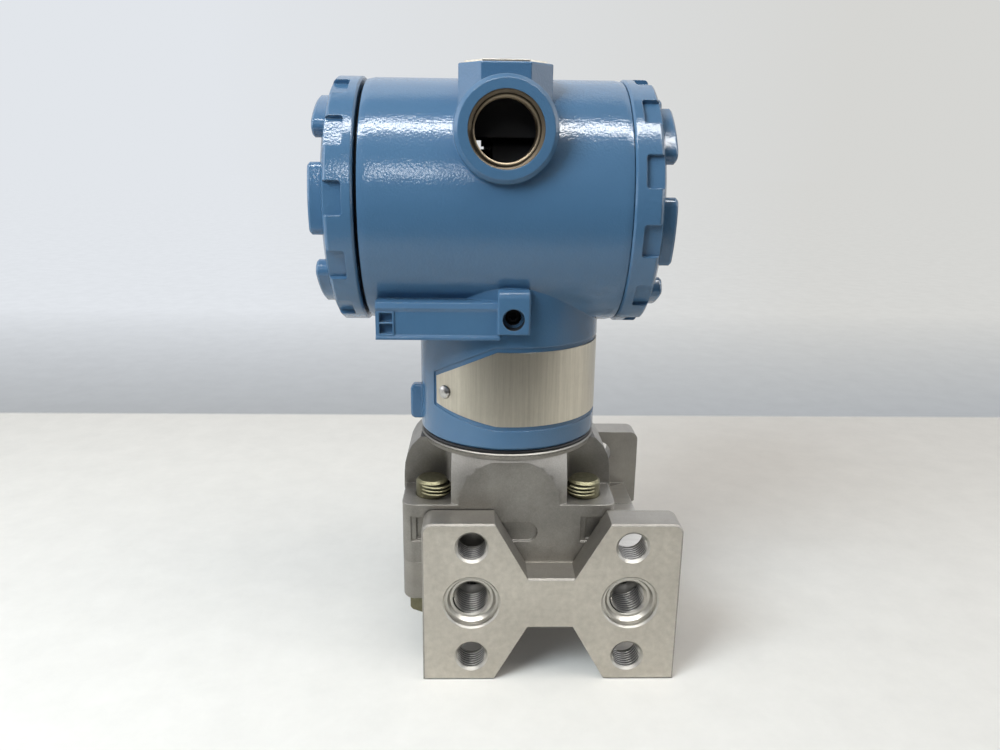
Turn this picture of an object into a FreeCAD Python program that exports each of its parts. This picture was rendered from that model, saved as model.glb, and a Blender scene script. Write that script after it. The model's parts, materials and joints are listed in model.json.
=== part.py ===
import FreeCAD, Part
import math
import os

# Differential pressure transmitter with a two-compartment electronics housing on a coplanar
# sensor module and an H-shaped process flange.
#
# All lengths are in millimetres. The model is built on the neck's axis (x = y = 0) with z = 0
# at the height of the process ports, and is moved at the end so that the origin lies at the
# centre of the process bolt pattern on the flange's front face: X to the right seen from the
# process side, Y into the instrument, Z up.

V = FreeCAD.Vector

# --- process flange -------------------------------------------------------------------------
PORT_PITCH = 54.0            # between the two process ports
TAP_RISE = 20.65             # tapped holes above and below the ports (41.3 apart)
FLANGE_SHIFT = 14.3          # flange centre to the right of the neck axis
PLATE_THICK = 11.2           # front and rear plates
PLATE_GAP = 0.5              # between the front plate's arms and the module's ears
EAR_HALF_Y = 31.1            # half depth of the module's base
FACE_TO_AXIS = EAR_HALF_Y + PLATE_GAP + PLATE_THICK
PLATE_HALF = 43.7            # half width of the front plate
PLATE_TOP = 29.1
PLATE_FOOT = -30.0           # both plates stand on this level
PLATE_CORNER = 3.5
NOTCH_MOUTH = 19.4           # half width of the H's notches at the plate's edge
NOTCH_ROOT = 8.1             # half width at the web
WEB_UNDER = -9.7             # underside of the web; its top is the flange top
FLANGE_TOP = 9.0             # seat of the sensor module
FLANGE_UNDER = -5.7
TAP_R = 4.95                 # minor radius of a 7/16-20 thread
TAP_CHAMFER = 0.8
PORT_BORE_R = 9.3            # counterbore round each process port
PORT_BORE_DEPTH = 3.3
PORT_STEP_R = 7.4
PORT_STEP_DEPTH = 1.4
PORT_THREAD_R = 5.7          # minor radius of a 1/4-18 pipe thread
PORT_THREAD_DEPTH = 13.0
THREAD_MOUTH = 0.9           # chamfer at the start of each pipe thread
GALLERY_R = 3.2              # drilled passage behind each port
GALLERY_WALL = 4.4
BODY_RIGHT = 52.8            # right side of the body that carries the right gallery
REAR_GAP = 8.5               # between the module's ears and the rear plate
REAR_FACE = EAR_HALF_Y + REAR_GAP
REAR_TOP = 32.4
LUG_HOLE_RISE = 22.8
LUG_HOLE_R = 5.1
LUG_UNDER = 0.7
REAR_FOOT_HALF = 38.5
EDGE = 0.6                   # small edge break of the machined faces

# --- sensor module --------------------------------------------------------------------------
EAR_HALF_X = 36.9
EAR_CORNER = 4.0
EAR_TOP = 30.8
BOLT_X = 27.0
BOLT_Y = 20.65
POCKET_X = 20.0              # bolt pockets start this far from the axis
POCKET_Y = 12.0
SHOULDER_Z = 49.5            # top face of the module
NECK_R = 31.7                # painted neck of the housing
RING_R = NECK_R + 0.1        # polished top ring of the module
RING_HEIGHT = 0.7
RING_INSET = 0.6
DRUM_R = RING_R + 3.8
POCKET_TOP = SHOULDER_Z - 2.3
COLLAR_R = NECK_R - 4.3      # thread of the neck joint
COLLAR_TOP = 70.0
SPIGOT_R = 20.0
SPIGOT_TOP = 94.0
DIAPHRAGM_X = 16.8
DIAPHRAGM_R = 11.4
DIAPHRAGM_DEPTH = 1.6
SEAL_R = 14.2                # outer radius of the ring seals
SEAL_WIDTH = 2.2
SEAL_DEPTH = 2.4

# --- flange bolts ---------------------------------------------------------------------------
BOLT_R = 5.55
BOLT_HOLE_R = 5.75
BOLT_END = 36.8
BOLT_AF = 15.9
BOLT_HEAD = 7.0

# --- vent valves ----------------------------------------------------------------------------
VENT_AF = 15.9
VENT_HEX = 8.0
VENT_SHANK = 9.0
STEM_R = 3.4
STEM_AF = 9.5
STEM_HEX = 6.5
STEM_OUT = 3.5
STEM_DEPTH = 12.0

# --- electronics housing --------------------------------------------------------------------
NECK_BOTTOM = SHOULDER_Z + 1.3  # the neck seal shows in this gap
HOUSING_Z = 130.8            # axis of the housing's barrel
BARREL_R = 40.2
BARREL_LEFT = -47.4
BARREL_RIGHT = 35.8
END_TAPER = 2.6
MOUTH_R = BARREL_R - 4.0     # bore that takes the covers
MOUTH_DEPTH = 14.0
CHAMBER_R = MOUTH_R - 1.8
WALL_LEFT = 8.0              # wall between the two compartments
WALL_RIGHT = 12.0
SEAT_R = BARREL_R - 1.3      # counterbore for the cover's O-ring
SEAT_DEPTH = 2.6
TOWER_R = 23.5               # metal round the module's spigot
TOWER_TOP = 103.0
SPIGOT_GAP = 0.08            # running clearance of the neck joint
CONDUIT_X = -3.0
CONDUIT_Z = 153.8
BOSS_R = 15.4
BOSS_ROOT_R = 16.6
BOSS_START = 20.0            # within the barrel and the block
BOSS_OUT = 43.0              # face of each conduit boss from the neck axis
CONDUIT_R = 9.4              # minor radius of a 1/2-14 pipe thread
CONDUIT_DEPTH = 15.7         # threaded depth, open below into the terminal compartment
CONDUIT_MOUTH_R = 11.1
CONDUIT_MOUTH = 1.7
BLOCK_HALF = 14.4            # top block between the conduits
BLOCK_FACET = 7.4
BLOCK_Y = 33.0
BLOCK_CHAMFER = 7.0
BLOCK_TOP = HOUSING_Z + BARREL_R + 2.4
LEDGE_LEFT = -43.6
LEDGE_FRONT = -33.6
LEDGE_Z0 = 89.4
LEDGE_Z1 = 101.8
SCREW_BLOCK_X0 = -4.8
SCREW_BLOCK_X1 = 5.6
SCREW_BLOCK_Z0 = 91.6
SCREW_BLOCK_Z1 = 105.8
SCREW_BLOCK_FRONT = -35.8
SET_SCREW_R = 2.5
SET_SCREW_GAP = 0.06
SET_SCREW_LENGTH = 8.0
SET_SCREW_Z = 96.4
TAG_Y = -3.0
TAG_Z0 = 53.4
TAG_Z1 = 66.2
TAG_OUT = 35.4

# --- covers ---------------------------------------------------------------------------------
COVER_R = BARREL_R + 0.3
RIM = 8.6                    # width of the rim
SHOULDER_T = 10.0            # face between the lugs
SHOULDER_R = COVER_R - 3.9
LUG_T = 14.5
LUG_CORNER = 2.8
LUG_EDGE = 0.7
LUG_R = COVER_R - 5.9
LUG_INNER_R = LUG_R - 6.8
LUG_ANGLE = 40.0
LUG_COUNT = 6
NOTCH_COUNT = 12
NOTCH_ANGLE = 14.5
NOTCH_START = 3.3
NOTCH_CORNER = 1.0
NOTCH_DEPTH = 1.8
SKIRT = 11.5                 # threaded length inside the housing
SKIRT_R = MOUTH_R - 0.3
SKIRT_WALL = 3.2
COVER_WALL = 3.2
LEFT_GAP = 1.2               # terminal cover is not quite screwed home
RIGHT_GAP = 0.2
RING_SECTION = 1.2
RING_CENTRE_R = (MOUTH_R + SEAT_R) / 2
LEFT_PHASE = -4.2            # turn of each cover from a lug that faces the process side
RIGHT_PHASE = 13.0

# --- nameplate ------------------------------------------------------------------------------
PLATE_T = 0.5
PLATE_Z0 = 59.2
PLATE_Z1 = 84.6
TIP_Z0 = 63.9                # lower and upper corner of the plate's cut-down ends
TIP_Z1 = 73.6
PLATE_TIP = -52.6            # degrees round the neck from the process side
PLATE_SHOULDER = -8.8
PLATE_MIDDLE = 45.0          # the plate is symmetric about this angle
RECESS_DEPTH = 0.5
RECESS_MARGIN = 1.6
DRIVE_OFFSET = 8.2           # degrees from the plate's tip to its drive screw
DRIVE_SHANK_R = 1.15
DRIVE_R = 2.4
DRIVE_HEAD = 1.3

# --- certification plate and buttons --------------------------------------------------------
CERT_T = 0.6
CERT_GAP = 0.1
CERT_HALF_X = 12.6
CERT_HALF_Y = 30.5
CERT_CHAMFER = 5.5
CERT_SCREW_Y = 17.5
CERT_SCREW_R = 1.6
CERT_HEAD_R = 3.0
CERT_HEAD = 1.3
BUTTON_Y = 8.0
BUTTON_R = 3.2
BUTTON_GAP = 0.1
BUTTON_LENGTH = 4.0
BUTTON_WELL = 6.4

# --- pieces inside --------------------------------------------------------------------------
TERMINAL_FRONT = -17.0
TERMINAL_BASE = -6.8         # face of the round base behind the terminals
TERMINAL_R = 30.0            # clear of the conduits' threads
TERMINAL_TOP = 142.0
TERMINAL_Z = 122.0
TERMINAL_SCREW_R = 3.6
TERMINAL_SHANK_R = 2.2
TERMINAL_HOLE = 9.0
TERMINAL_PITCH = 16.0
TERMINAL_RIB = 5.0
GROUND_Y = 17.0
GROUND_Z = 149.0
CIRCUIT_R = 31.0
CIRCUIT_THICK = 12.0
CIRCUIT_SCREW_Y = CIRCUIT_R - 6.5
CIRCUIT_SHANK_R = 1.5
CLEAR = 0.4

PORTS_X = (FLANGE_SHIFT - PORT_PITCH / 2, FLANGE_SHIFT + PORT_PITCH / 2)
FRONT = -FACE_TO_AXIS
PLATE_BACK = FRONT + PLATE_THICK
REAR_BACK = REAR_FACE + PLATE_THICK


# --- construction helpers -------------------------------------------------------------------
def rod(radius, length, base, axis):
    """Cylinder from its base point along an axis."""
    return Part.makeCylinder(radius, length, V(*base), V(*axis))


def cone(r0, r1, length, base, axis):
    """Cone frustum from its base point along an axis."""
    return Part.makeCone(r0, r1, length, V(*base), V(*axis))


def block(x, y, z):
    """Box between pairs of limits."""
    return Part.makeBox(x[1] - x[0], y[1] - y[0], z[1] - z[0], V(x[0], y[0], z[0]))


def prism(points, plane, start, end):
    """Closed outline in the xy, xz or yz plane, extruded from start to end across it."""
    place = {
        "xy": lambda a, b: V(a, b, start),
        "xz": lambda a, b: V(a, start, b),
        "yz": lambda a, b: V(start, a, b),
    }[plane]
    across = {"xy": V(0, 0, 1), "xz": V(0, 1, 0), "yz": V(1, 0, 0)}[plane]
    wire = Part.makePolygon([place(*p) for p in points] + [place(*points[0])])
    return Part.Face(wire).extrude(across * (end - start))


def turned(profile, origin, axis):
    """Solid of revolution; the profile holds (radius, distance along the axis) pairs."""
    axis = V(*axis)
    side = V(1, 0, 0) if abs(axis.z) > 0.9 else axis.cross(V(0, 0, 1))
    base = V(*origin)
    points = [base + side * r + axis * t for r, t in profile]
    face = Part.Face(Part.makePolygon(points + [points[0]]))
    return face.revolve(base, axis, 360)


def hexagon(across_flats, length, base, axis):
    """Hexagonal prism with turned-off corners at its far end."""
    axis = V(*axis)
    corner = across_flats / math.sqrt(3)
    side = V(0, 1, 0) if abs(axis.y) < 0.5 else V(0, 0, 1)
    points = []
    for i in range(7):
        turn = FreeCAD.Rotation(axis, 60.0 * i)
        points.append(V(*base) + turn.multVec(side * corner))
    prismatic = Part.Face(Part.makePolygon(points)).extrude(axis * length)
    rounder = turned(
        [(0, -1), (corner + 1, -1), (corner + 1, length - 0.28 * (corner + 1)),
         (corner - 0.5, length), (0, length)], base, tuple(axis))
    return prismatic.common(rounder)


def fuse(shapes):
    """One solid from several that touch or overlap."""
    return shapes[0].multiFuse(shapes[1:]).removeSplitter()


def cut(shape, tools):
    """The shape less every tool."""
    return shape.cut(tools) if tools else shape


def straight_edges(shape, direction, keep):
    """Straight edges along a direction whose middle passes the keep test."""
    found = []
    for edge in shape.Edges:
        if not isinstance(edge.Curve, Part.Line):
            continue
        if abs(abs(edge.Curve.Direction.dot(V(*direction))) - 1) > 1e-6:
            continue
        if keep(edge.CenterOfMass):
            found.append(edge)
    return found


def o_ring(centre_r, section, origin, axis):
    """O-ring about an axis through its own centre point, of twelve-sided section."""
    sides = [math.radians(30.0 * i + 15.0) for i in range(12)]
    return turned([(centre_r + section * math.cos(a), section * math.sin(a)) for a in sides],
                  origin, axis)


def around(shape, count, origin, axis, phase=0.0):
    """Copies of a shape spaced evenly about an axis."""
    copies = []
    for i in range(count):
        copy = shape.copy()
        copy.rotate(V(*origin), V(*axis), phase + 360.0 * i / count)
        copies.append(copy)
    return copies


def mirrored(shape, normal):
    """Mirror image through the neck axis."""
    return shape.mirror(V(0, 0, 0), V(*normal))


# --- process flange -------------------------------------------------------------------------
def h_outline(half, top, foot_half, lug_under):
    """Outline of an H-shaped plate; feet may be narrower than the arms."""
    right = [
        (NOTCH_ROOT, FLANGE_TOP), (NOTCH_MOUTH, top), (half, top), (half, lug_under),
        (foot_half, lug_under - (half - foot_half) * 0.5), (foot_half, PLATE_FOOT),
        (NOTCH_MOUTH, PLATE_FOOT), (NOTCH_ROOT, WEB_UNDER),
    ]
    if half == foot_half:
        del right[3:5]
    left = [(-x, z) for x, z in reversed(right)]
    return [(FLANGE_SHIFT + x, z) for x, z in right + left]


def h_plate(outline, start, end, half):
    """H plate with rounded upper corners."""
    plate = prism(outline, "xz", start, end)
    top = max(z for _, z in outline)
    corners = straight_edges(
        plate, (0, 1, 0),
        lambda c: c.z > top - 0.1 and abs(abs(c.x - FLANGE_SHIFT) - half) < 0.1)
    return plate.makeFillet(PLATE_CORNER, corners)


def process_port(x):
    """Counterbored pipe-thread port with its step, seen as the metal that is taken away."""
    bottom = PORT_BORE_DEPTH + PORT_THREAD_DEPTH
    return turned(
        [(0, -1), (PORT_BORE_R + EDGE, -1), (PORT_BORE_R + EDGE, 0), (PORT_BORE_R, EDGE),
         (PORT_BORE_R, PORT_BORE_DEPTH - PORT_STEP_DEPTH),
         (PORT_STEP_R + 0.9, PORT_BORE_DEPTH - PORT_STEP_DEPTH),
         (PORT_STEP_R, PORT_BORE_DEPTH), (PORT_THREAD_R + THREAD_MOUTH, PORT_BORE_DEPTH),
         (PORT_THREAD_R, PORT_BORE_DEPTH + THREAD_MOUTH), (PORT_THREAD_R, bottom),
         (0, bottom + PORT_THREAD_R * 0.55)],
        (x, FRONT, 0), (0, 1, 0))


def tapped_hole(x, z, start, end):
    """Through hole with a chamfer at both faces."""
    r, c, length = TAP_R, TAP_CHAMFER, end - start
    return turned(
        [(0, -1), (r + c + 1, -1), (r + c, 0), (r, c), (r, length - c), (r + c, length),
         (r + c + 1, length + 1), (0, length + 1)], (x, start, z), (0, 1, 0))


def flange():
    """Cast flange: front plate, body under the module, two galleries and the rear plate."""
    front = h_plate(h_outline(PLATE_HALF, PLATE_TOP, PLATE_HALF, PLATE_FOOT), FRONT, PLATE_BACK,
                    PLATE_HALF)
    rear = h_plate(h_outline(PLATE_HALF - 0.2, REAR_TOP, REAR_FOOT_HALF, LUG_UNDER),
                   REAR_FACE, REAR_BACK, PLATE_HALF - 0.2)
    body = block((-EAR_HALF_X, EAR_HALF_X), (-EAR_HALF_Y, EAR_HALF_Y), (FLANGE_UNDER, FLANGE_TOP))
    body = body.makeFillet(EAR_CORNER, straight_edges(body, (0, 0, 1), lambda c: True))
    body = body.makeFillet(1.5, straight_edges(
        body, (1, 0, 0), lambda c: c.z < FLANGE_UNDER + 0.1))
    web = block((FLANGE_SHIFT - NOTCH_ROOT - 6, FLANGE_SHIFT + NOTCH_ROOT + 6),
                (PLATE_BACK - 1, -EAR_HALF_Y + 3), (FLANGE_UNDER, FLANGE_TOP))
    tail = block((-28.0, BODY_RIGHT - 4), (EAR_HALF_Y - 1, REAR_FACE + 1),
                 (FLANGE_UNDER, FLANGE_TOP))
    gallery = GALLERY_R + GALLERY_WALL
    right = prism(
        [(EAR_HALF_X - 4, FLANGE_TOP), (BODY_RIGHT, FLANGE_TOP), (BODY_RIGHT, -4.0),
         (BODY_RIGHT - 4.5, -gallery - 0.9), (PORTS_X[1] - 4.0, -gallery - 0.9),
         (PORTS_X[1] - 5.0, FLANGE_UNDER), (EAR_HALF_X - 4, FLANGE_UNDER)],
        "xz", PLATE_BACK - 1, REAR_FACE + 1)
    left = rod(gallery, REAR_FACE - PLATE_BACK + 2, (PORTS_X[0], PLATE_BACK - 1, 0), (0, 1, 0))
    vents = [cone(11.2, 10.6, 1.6, (x, REAR_BACK, 0), (0, 1, 0)) for x in PORTS_X]
    shape = fuse([front, rear, body, web, tail, right, left] + vents)
    tools = [process_port(x) for x in PORTS_X]
    for x in PORTS_X:
        tools += [tapped_hole(x, z, FRONT, PLATE_BACK) for z in (TAP_RISE, -TAP_RISE)]
        tools.append(rod(LUG_HOLE_R, PLATE_THICK + 2, (x, REAR_FACE - 1, LUG_HOLE_RISE), (0, 1, 0)))
        tools.append(rod(GALLERY_R, REAR_BACK - FRONT - 8, (x, FRONT + 4, 0), (0, 1, 0)))
        tools.append(vent_socket(x))
    for x in (-BOLT_X, BOLT_X):
        for y in (-BOLT_Y, BOLT_Y):
            tools.append(rod(BOLT_HOLE_R, 40, (x, y, -20), (0, 0, 1)))
    for x in (-DIAPHRAGM_X, DIAPHRAGM_X):
        tools.append(rod(SEAL_R + 0.1, SEAL_DEPTH, (x, 0, FLANGE_TOP - SEAL_DEPTH), (0, 0, 1)))
        tools.append(rod(SEAL_R - SEAL_WIDTH - 0.8, 0.9, (x, 0, FLANGE_TOP - SEAL_DEPTH - 0.9), (0, 0, 1)))
    floor = FLANGE_TOP - SEAL_DEPTH - 0.9
    tools.append(rod(2.2, floor + 1, (PORTS_X[0], 0, 0), (0, 0, 1)))
    run = V(PORTS_X[1] - 22.0, 0, -floor)
    tools.append(Part.makeCylinder(1.8, run.Length, V(22.0, 0, floor + 0.5), run))
    shape = cut(shape, tools)
    rims = straight_edges(shape, (1, 0, 0), lambda c: abs(c.y - FRONT) < 0.01)
    rims += straight_edges(shape, (0, 0, 1), lambda c: abs(c.y - FRONT) < 0.01)
    return shape.makeChamfer(EDGE, rims)


def vent_socket(x):
    """Tapped socket for a vent seat at the back of a gallery."""
    depth = VENT_SHANK + 2.0
    return rod(PORT_THREAD_R, depth + 4, (x, REAR_BACK + 1.6 - depth, 0), (0, 1, 0))


def process_seal_rings():
    """Two ring seals of rectangular section in the flange's recesses."""
    rings = []
    for x in (-DIAPHRAGM_X, DIAPHRAGM_X):
        base = (x, 0, FLANGE_TOP - SEAL_DEPTH)
        rings.append(rod(SEAL_R, SEAL_DEPTH, base, (0, 0, 1)).cut(
            rod(SEAL_R - SEAL_WIDTH, SEAL_DEPTH, base, (0, 0, 1))))
    return Part.makeCompound(rings)


def vent_valve_seats():
    """Vent seats: threaded shank, hexagon and a cross hole for the bleed."""
    seats = []
    for x in PORTS_X:
        face = REAR_BACK + 1.6
        seat = fuse([
            rod(PORT_THREAD_R - 0.05, VENT_SHANK + 0.5, (x, face - VENT_SHANK, 0), (0, 1, 0)),
            hexagon(VENT_AF, VENT_HEX, (x, face, 0), (0, 1, 0))])
        seat = cut(seat, [
            rod(STEM_R + 0.08, STEM_DEPTH + 2, (x, face + VENT_HEX - STEM_DEPTH, 0), (0, 1, 0)),
            rod(GALLERY_R - 1.6, 30, (x, face - 20, 0), (0, 1, 0)),
            rod(1.2, 12, (x, face + VENT_HEX / 2, 0), (0, 0, 1))])
        seats.append(seat)
    return Part.makeCompound(seats)


def vent_stem(x):
    """Vent screw with a coned tip, a plain shank and a small hexagon."""
    mouth = REAR_BACK + 1.6 + VENT_HEX
    depth = STEM_DEPTH - 0.6
    shank = turned(
        [(0, -depth), (1.4, -depth), (STEM_R, -depth + 2.0), (STEM_R, STEM_OUT), (0, STEM_OUT)],
        (x, mouth, 0), (0, 1, 0))
    return fuse([shank, hexagon(STEM_AF, STEM_HEX, (x, mouth + STEM_OUT, 0), (0, 1, 0))])


# --- sensor module --------------------------------------------------------------------------
def rounded_in(start, top, out, drop, power):
    """Profile points that fall inwards by a power of the height."""
    steps = 6
    return [(out - drop * (i / steps) ** power, start + (top - start) * i / steps)
            for i in range(steps + 1)]


def module_drum():
    """Turned upper part of the module: convex shoulder, top ring, collar and spigot."""
    foot = RING_R - RING_INSET
    shoulder = rounded_in(EAR_TOP, SHOULDER_Z - RING_HEIGHT - 1.6, DRUM_R, DRUM_R - foot, 2.2)
    return turned(
        [(0, FLANGE_TOP + 1), (DRUM_R, FLANGE_TOP + 1)] + shoulder + [
         (RING_R - 0.3, SHOULDER_Z - RING_HEIGHT - 0.5), (RING_R, SHOULDER_Z - RING_HEIGHT),
         (RING_R, SHOULDER_Z - 0.4), (RING_R - 0.4, SHOULDER_Z), (COLLAR_R + 1.2, SHOULDER_Z),
         (COLLAR_R + 1.2, NECK_BOTTOM + 0.3), (COLLAR_R, NECK_BOTTOM + 0.3),
         (COLLAR_R, COLLAR_TOP), (SPIGOT_R, COLLAR_TOP), (SPIGOT_R, SPIGOT_TOP), (0, SPIGOT_TOP)],
        (0, 0, 0), (0, 0, 1))


def ear_recess(x0, x1, depth, inset):
    """Rectangular core recess in the front of an ear, deeper in its middle."""
    z0, z1 = 16.9, 26.4
    outer = block((x0, x1), (-EAR_HALF_Y - 1, -EAR_HALF_Y + depth), (z0, z1))
    inner = block((x0 + inset, x1 - inset), (-EAR_HALF_Y - 1, -EAR_HALF_Y + 2.2 * depth),
                  (z0 + 0.8, z1 - 0.8))
    return outer.fuse(inner)


def sensor_module():
    """Cast module: base with four ears, cheeks between the bolt pockets and the turned top."""
    base = block((-EAR_HALF_X, EAR_HALF_X), (-EAR_HALF_Y, EAR_HALF_Y), (FLANGE_TOP, EAR_TOP))
    base = base.makeFillet(EAR_CORNER, straight_edges(base, (0, 0, 1), lambda c: True))
    out, low, high = EAR_HALF_X + 0.6, EAR_TOP - 2, SHOULDER_Z - RING_HEIGHT
    side = rounded_in(low, high, out, out - RING_R + 0.4, 4.0)
    cheeks = prism([(-x, z) for x, z in side] + side[::-1], "xz", -POCKET_Y, POCKET_Y)
    drum = module_drum()
    front = block((-60, 60), (-60, -EAR_HALF_Y), (0, POCKET_TOP - 1.0))
    rear = block((-60, 60), (EAR_HALF_Y, 60), (0, POCKET_TOP - 1.0))
    drum = cut(drum, [front, rear])
    pockets = []
    for sx in (-1, 1):
        for sy in (-1, 1):
            pocket = block(sorted((sx * POCKET_X, sx * 60)), sorted((sy * POCKET_Y, sy * 60)),
                           (EAR_TOP, POCKET_TOP))
            inner = straight_edges(pocket, (0, 0, 1), lambda c: abs(c.x) < 30 and abs(c.y) < 30)
            pockets.append(pocket.makeFillet(3.0, inner))
    drum = cut(drum, pockets)
    shape = fuse([base, cheeks, drum])
    tools = [ear_recess(25.0, 33.8, 0.9, 1.9), ear_recess(-33.8, -25.0, 0.9, 1.9)]
    tools += [mirrored(t, (0, 1, 0)) for t in list(tools)]
    slot = fuse([rod(3.5, 2.4, (x, -EAR_HALF_Y - 1.2, 20.6), (0, 1, 0)) for x in (-6.4, 6.4)]
                + [block((-6.4, 6.4), (-EAR_HALF_Y - 1.2, -EAR_HALF_Y + 1.2), (17.1, 24.1))])
    tools.append(slot)
    for x in (-BOLT_X, BOLT_X):
        for y in (-BOLT_Y, BOLT_Y):
            tools.append(rod(BOLT_HOLE_R, 40, (x, y, 0), (0, 0, 1)))
    for x in (-DIAPHRAGM_X, DIAPHRAGM_X):
        tools.append(rod(DIAPHRAGM_R, DIAPHRAGM_DEPTH, (x, 0, FLANGE_TOP), (0, 0, 1)))
    tools.append(rod(12.0, 14.0, (0, 0, SPIGOT_TOP - 14.0), (0, 0, 1)))
    return cut(shape, tools)


def isolator_diaphragms():
    """Two thin corrugated discs in the underside of the module."""
    discs = []
    for x in (-DIAPHRAGM_X, DIAPHRAGM_X):
        top, t = FLANGE_TOP + DIAPHRAGM_DEPTH, 0.5
        lower, upper = [], []
        for i in range(6):
            r = (DIAPHRAGM_R - 0.1) * i / 5
            dip = 0.3 if i % 2 else 0.0
            lower.append((r, top - t - dip))
            upper.append((r, top - dip))
        discs.append(turned(lower + upper[::-1], (x, 0, 0), (0, 0, 1)))
    return Part.makeCompound(discs)


def flange_bolts():
    """Four hexagon bolts from below, their chamfered ends above the ears."""
    bolts = []
    for x in (-BOLT_X, BOLT_X):
        for y in (-BOLT_Y, BOLT_Y):
            shank = turned(
                [(0, FLANGE_UNDER - 0.5), (BOLT_R, FLANGE_UNDER - 0.5), (BOLT_R, BOLT_END - 0.9),
                 (BOLT_R - 0.9, BOLT_END), (0, BOLT_END)], (x, y, 0), (0, 0, 1))
            head = hexagon(BOLT_AF, BOLT_HEAD, (x, y, FLANGE_UNDER), (0, 0, -1))
            bolts.append(fuse([shank, head]))
    return Part.makeCompound(bolts)


def neck_seal_ring():
    """O-ring on the module's shoulder, under the rim of the neck."""
    section = (NECK_BOTTOM - SHOULDER_Z) / 2 - 0.08
    centre = NECK_R - 0.3 - section
    return o_ring(centre, section, (0, 0, SHOULDER_Z + section + 0.04), (0, 0, 1))


# --- electronics housing --------------------------------------------------------------------
def barrel():
    """Horizontal barrel with slightly tapered ends."""
    length = BARREL_RIGHT - BARREL_LEFT
    return turned(
        [(0, 0), (BARREL_R - 0.5, 0), (BARREL_R, END_TAPER), (BARREL_R, length - END_TAPER),
         (BARREL_R - 0.5, length), (0, length)], (BARREL_LEFT, 0, HOUSING_Z), (1, 0, 0))


def top_block():
    """Eight-sided block between the conduits that carries the certification plate."""
    h, f, y, c = BLOCK_HALF, BLOCK_FACET, BLOCK_Y, BLOCK_CHAMFER
    outline = [(-f, -y), (f, -y), (h, -y + c), (h, y - c), (f, y), (-f, y), (-h, y - c), (-h, -y + c)]
    shape = prism([(CONDUIT_X + a, b) for a, b in outline], "xy", CONDUIT_Z, BLOCK_TOP)
    rim = [e for e in shape.Edges if abs(e.CenterOfMass.z - BLOCK_TOP) < 0.01]
    return shape.makeFillet(0.6, rim)


def conduit_boss(side):
    """Drafted boss for a conduit, side -1 towards the process side and +1 behind."""
    length = BOSS_OUT - BOSS_START
    return turned(
        [(0, 0), (BOSS_ROOT_R, 0), (BOSS_R, length - 1.4), (BOSS_R - 1.2, length), (0, length)],
        (CONDUIT_X, side * BOSS_START, CONDUIT_Z), (0, side, 0))


def ledge():
    """Bar along the foot of the barrel with a lipped front and two cored cells at its end."""
    front, z0, z1 = LEDGE_FRONT, LEDGE_Z0, LEDGE_Z1
    profile = [(front - 0.6, z0), (front - 0.6, z0 + 0.8), (front, z0 + 1.6), (front, z1 - 3.4),
               (front - 0.6, z1 - 2.2), (front + 0.4, z1 - 0.5), (front + 1.6, z1), (-24.0, z1),
               (-20.0, z1 + 6.0), (0.0, z1), (0.0, z0)]
    bar = prism(profile, "yz", LEDGE_LEFT, SCREW_BLOCK_X0 + 1)
    cells = [block((LEDGE_LEFT + 1.3, LEDGE_LEFT + 5.4), (front - 2, front + 1.6), z)
             for z in ((z0 + 1.9, z0 + 5.1), (z0 + 5.7, z0 + 8.6))]
    frame = block((LEDGE_LEFT + 0.6, LEDGE_LEFT + 6.0), (front - 0.35, front + 1), (z0 + 1.3, z0 + 9.2))
    return cut(bar.fuse(frame), cells)


def screw_block():
    """Square boss that carries the rotation set screw."""
    boss = block((SCREW_BLOCK_X0, SCREW_BLOCK_X1), (SCREW_BLOCK_FRONT, -10), (SCREW_BLOCK_Z0, SCREW_BLOCK_Z1))
    rim = straight_edges(boss, (1, 0, 0), lambda c: c.y < SCREW_BLOCK_FRONT + 0.1 and c.z > SCREW_BLOCK_Z1 - 0.1)
    boss = boss.makeFillet(3.0, rim)
    sides = straight_edges(boss, (0, 0, 1), lambda c: c.y < SCREW_BLOCK_FRONT + 0.1)
    return boss.makeFillet(0.7, sides)


def tag_lug():
    """Small lug for a wired-on tag, at the side of the neck."""
    lug = block((-TAG_OUT, -NECK_R + 6), (TAG_Y - 2.2, TAG_Y + 2.2), (TAG_Z0, TAG_Z1))
    ends = straight_edges(lug, (0, 1, 0), lambda c: c.x < -TAG_OUT + 0.1)
    lug = lug.makeFillet(1.9, ends)
    return lug.makeFillet(0.9, straight_edges(lug, (0, 0, 1), lambda c: c.x < -TAG_OUT + 0.1))


def neck_direction(angle):
    """Outward and sideways unit vectors at an angle round the neck from the process side."""
    a = math.radians(angle)
    return V(math.sin(a), -math.cos(a), 0), V(math.cos(a), math.sin(a), 0)


def around_neck(start, end, z0, z1, inner, outer):
    """Curved sheet round the neck between two angles and two heights."""
    steps = 12
    fan = [V(0, 0, z0)]
    for i in range(steps + 1):
        out, _ = neck_direction(start + (end - start) * i / steps)
        fan.append(out * outer * 1.5 + V(0, 0, z0))
    wedge = Part.Face(Part.makePolygon(fan + [fan[0]])).extrude(V(0, 0, z1 - z0))
    up = (0, 0, 1)
    tube = rod(outer, z1 - z0, (0, 0, z0), up).cut(rod(inner, z1 - z0, (0, 0, z0), up))
    return tube.common(wedge)


def point_trimmer(start, end, low, high):
    """Wedges that taper a sheet to its blunt tip, square to the neck.

    low and high each give the tip's corner and the full sheet's edge as (corner, edge) heights.
    """
    out, along = neck_direction((start + end) / 2)
    reach = NECK_R * math.sin(math.radians(end - start) / 2)
    tools = []
    for (corner, edge), sign in ((low, -1), (high, 1)):
        limit = edge + sign * 3
        outline = [(-reach - 8, corner), (-reach, corner), (reach, edge), (reach, limit),
                   (-reach - 8, limit)]
        points = [along * s + out * 5 + V(0, 0, z) for s, z in outline]
        tools.append(Part.Face(Part.makePolygon(points + [points[0]])).extrude(out * 60))
    return tools


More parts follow.
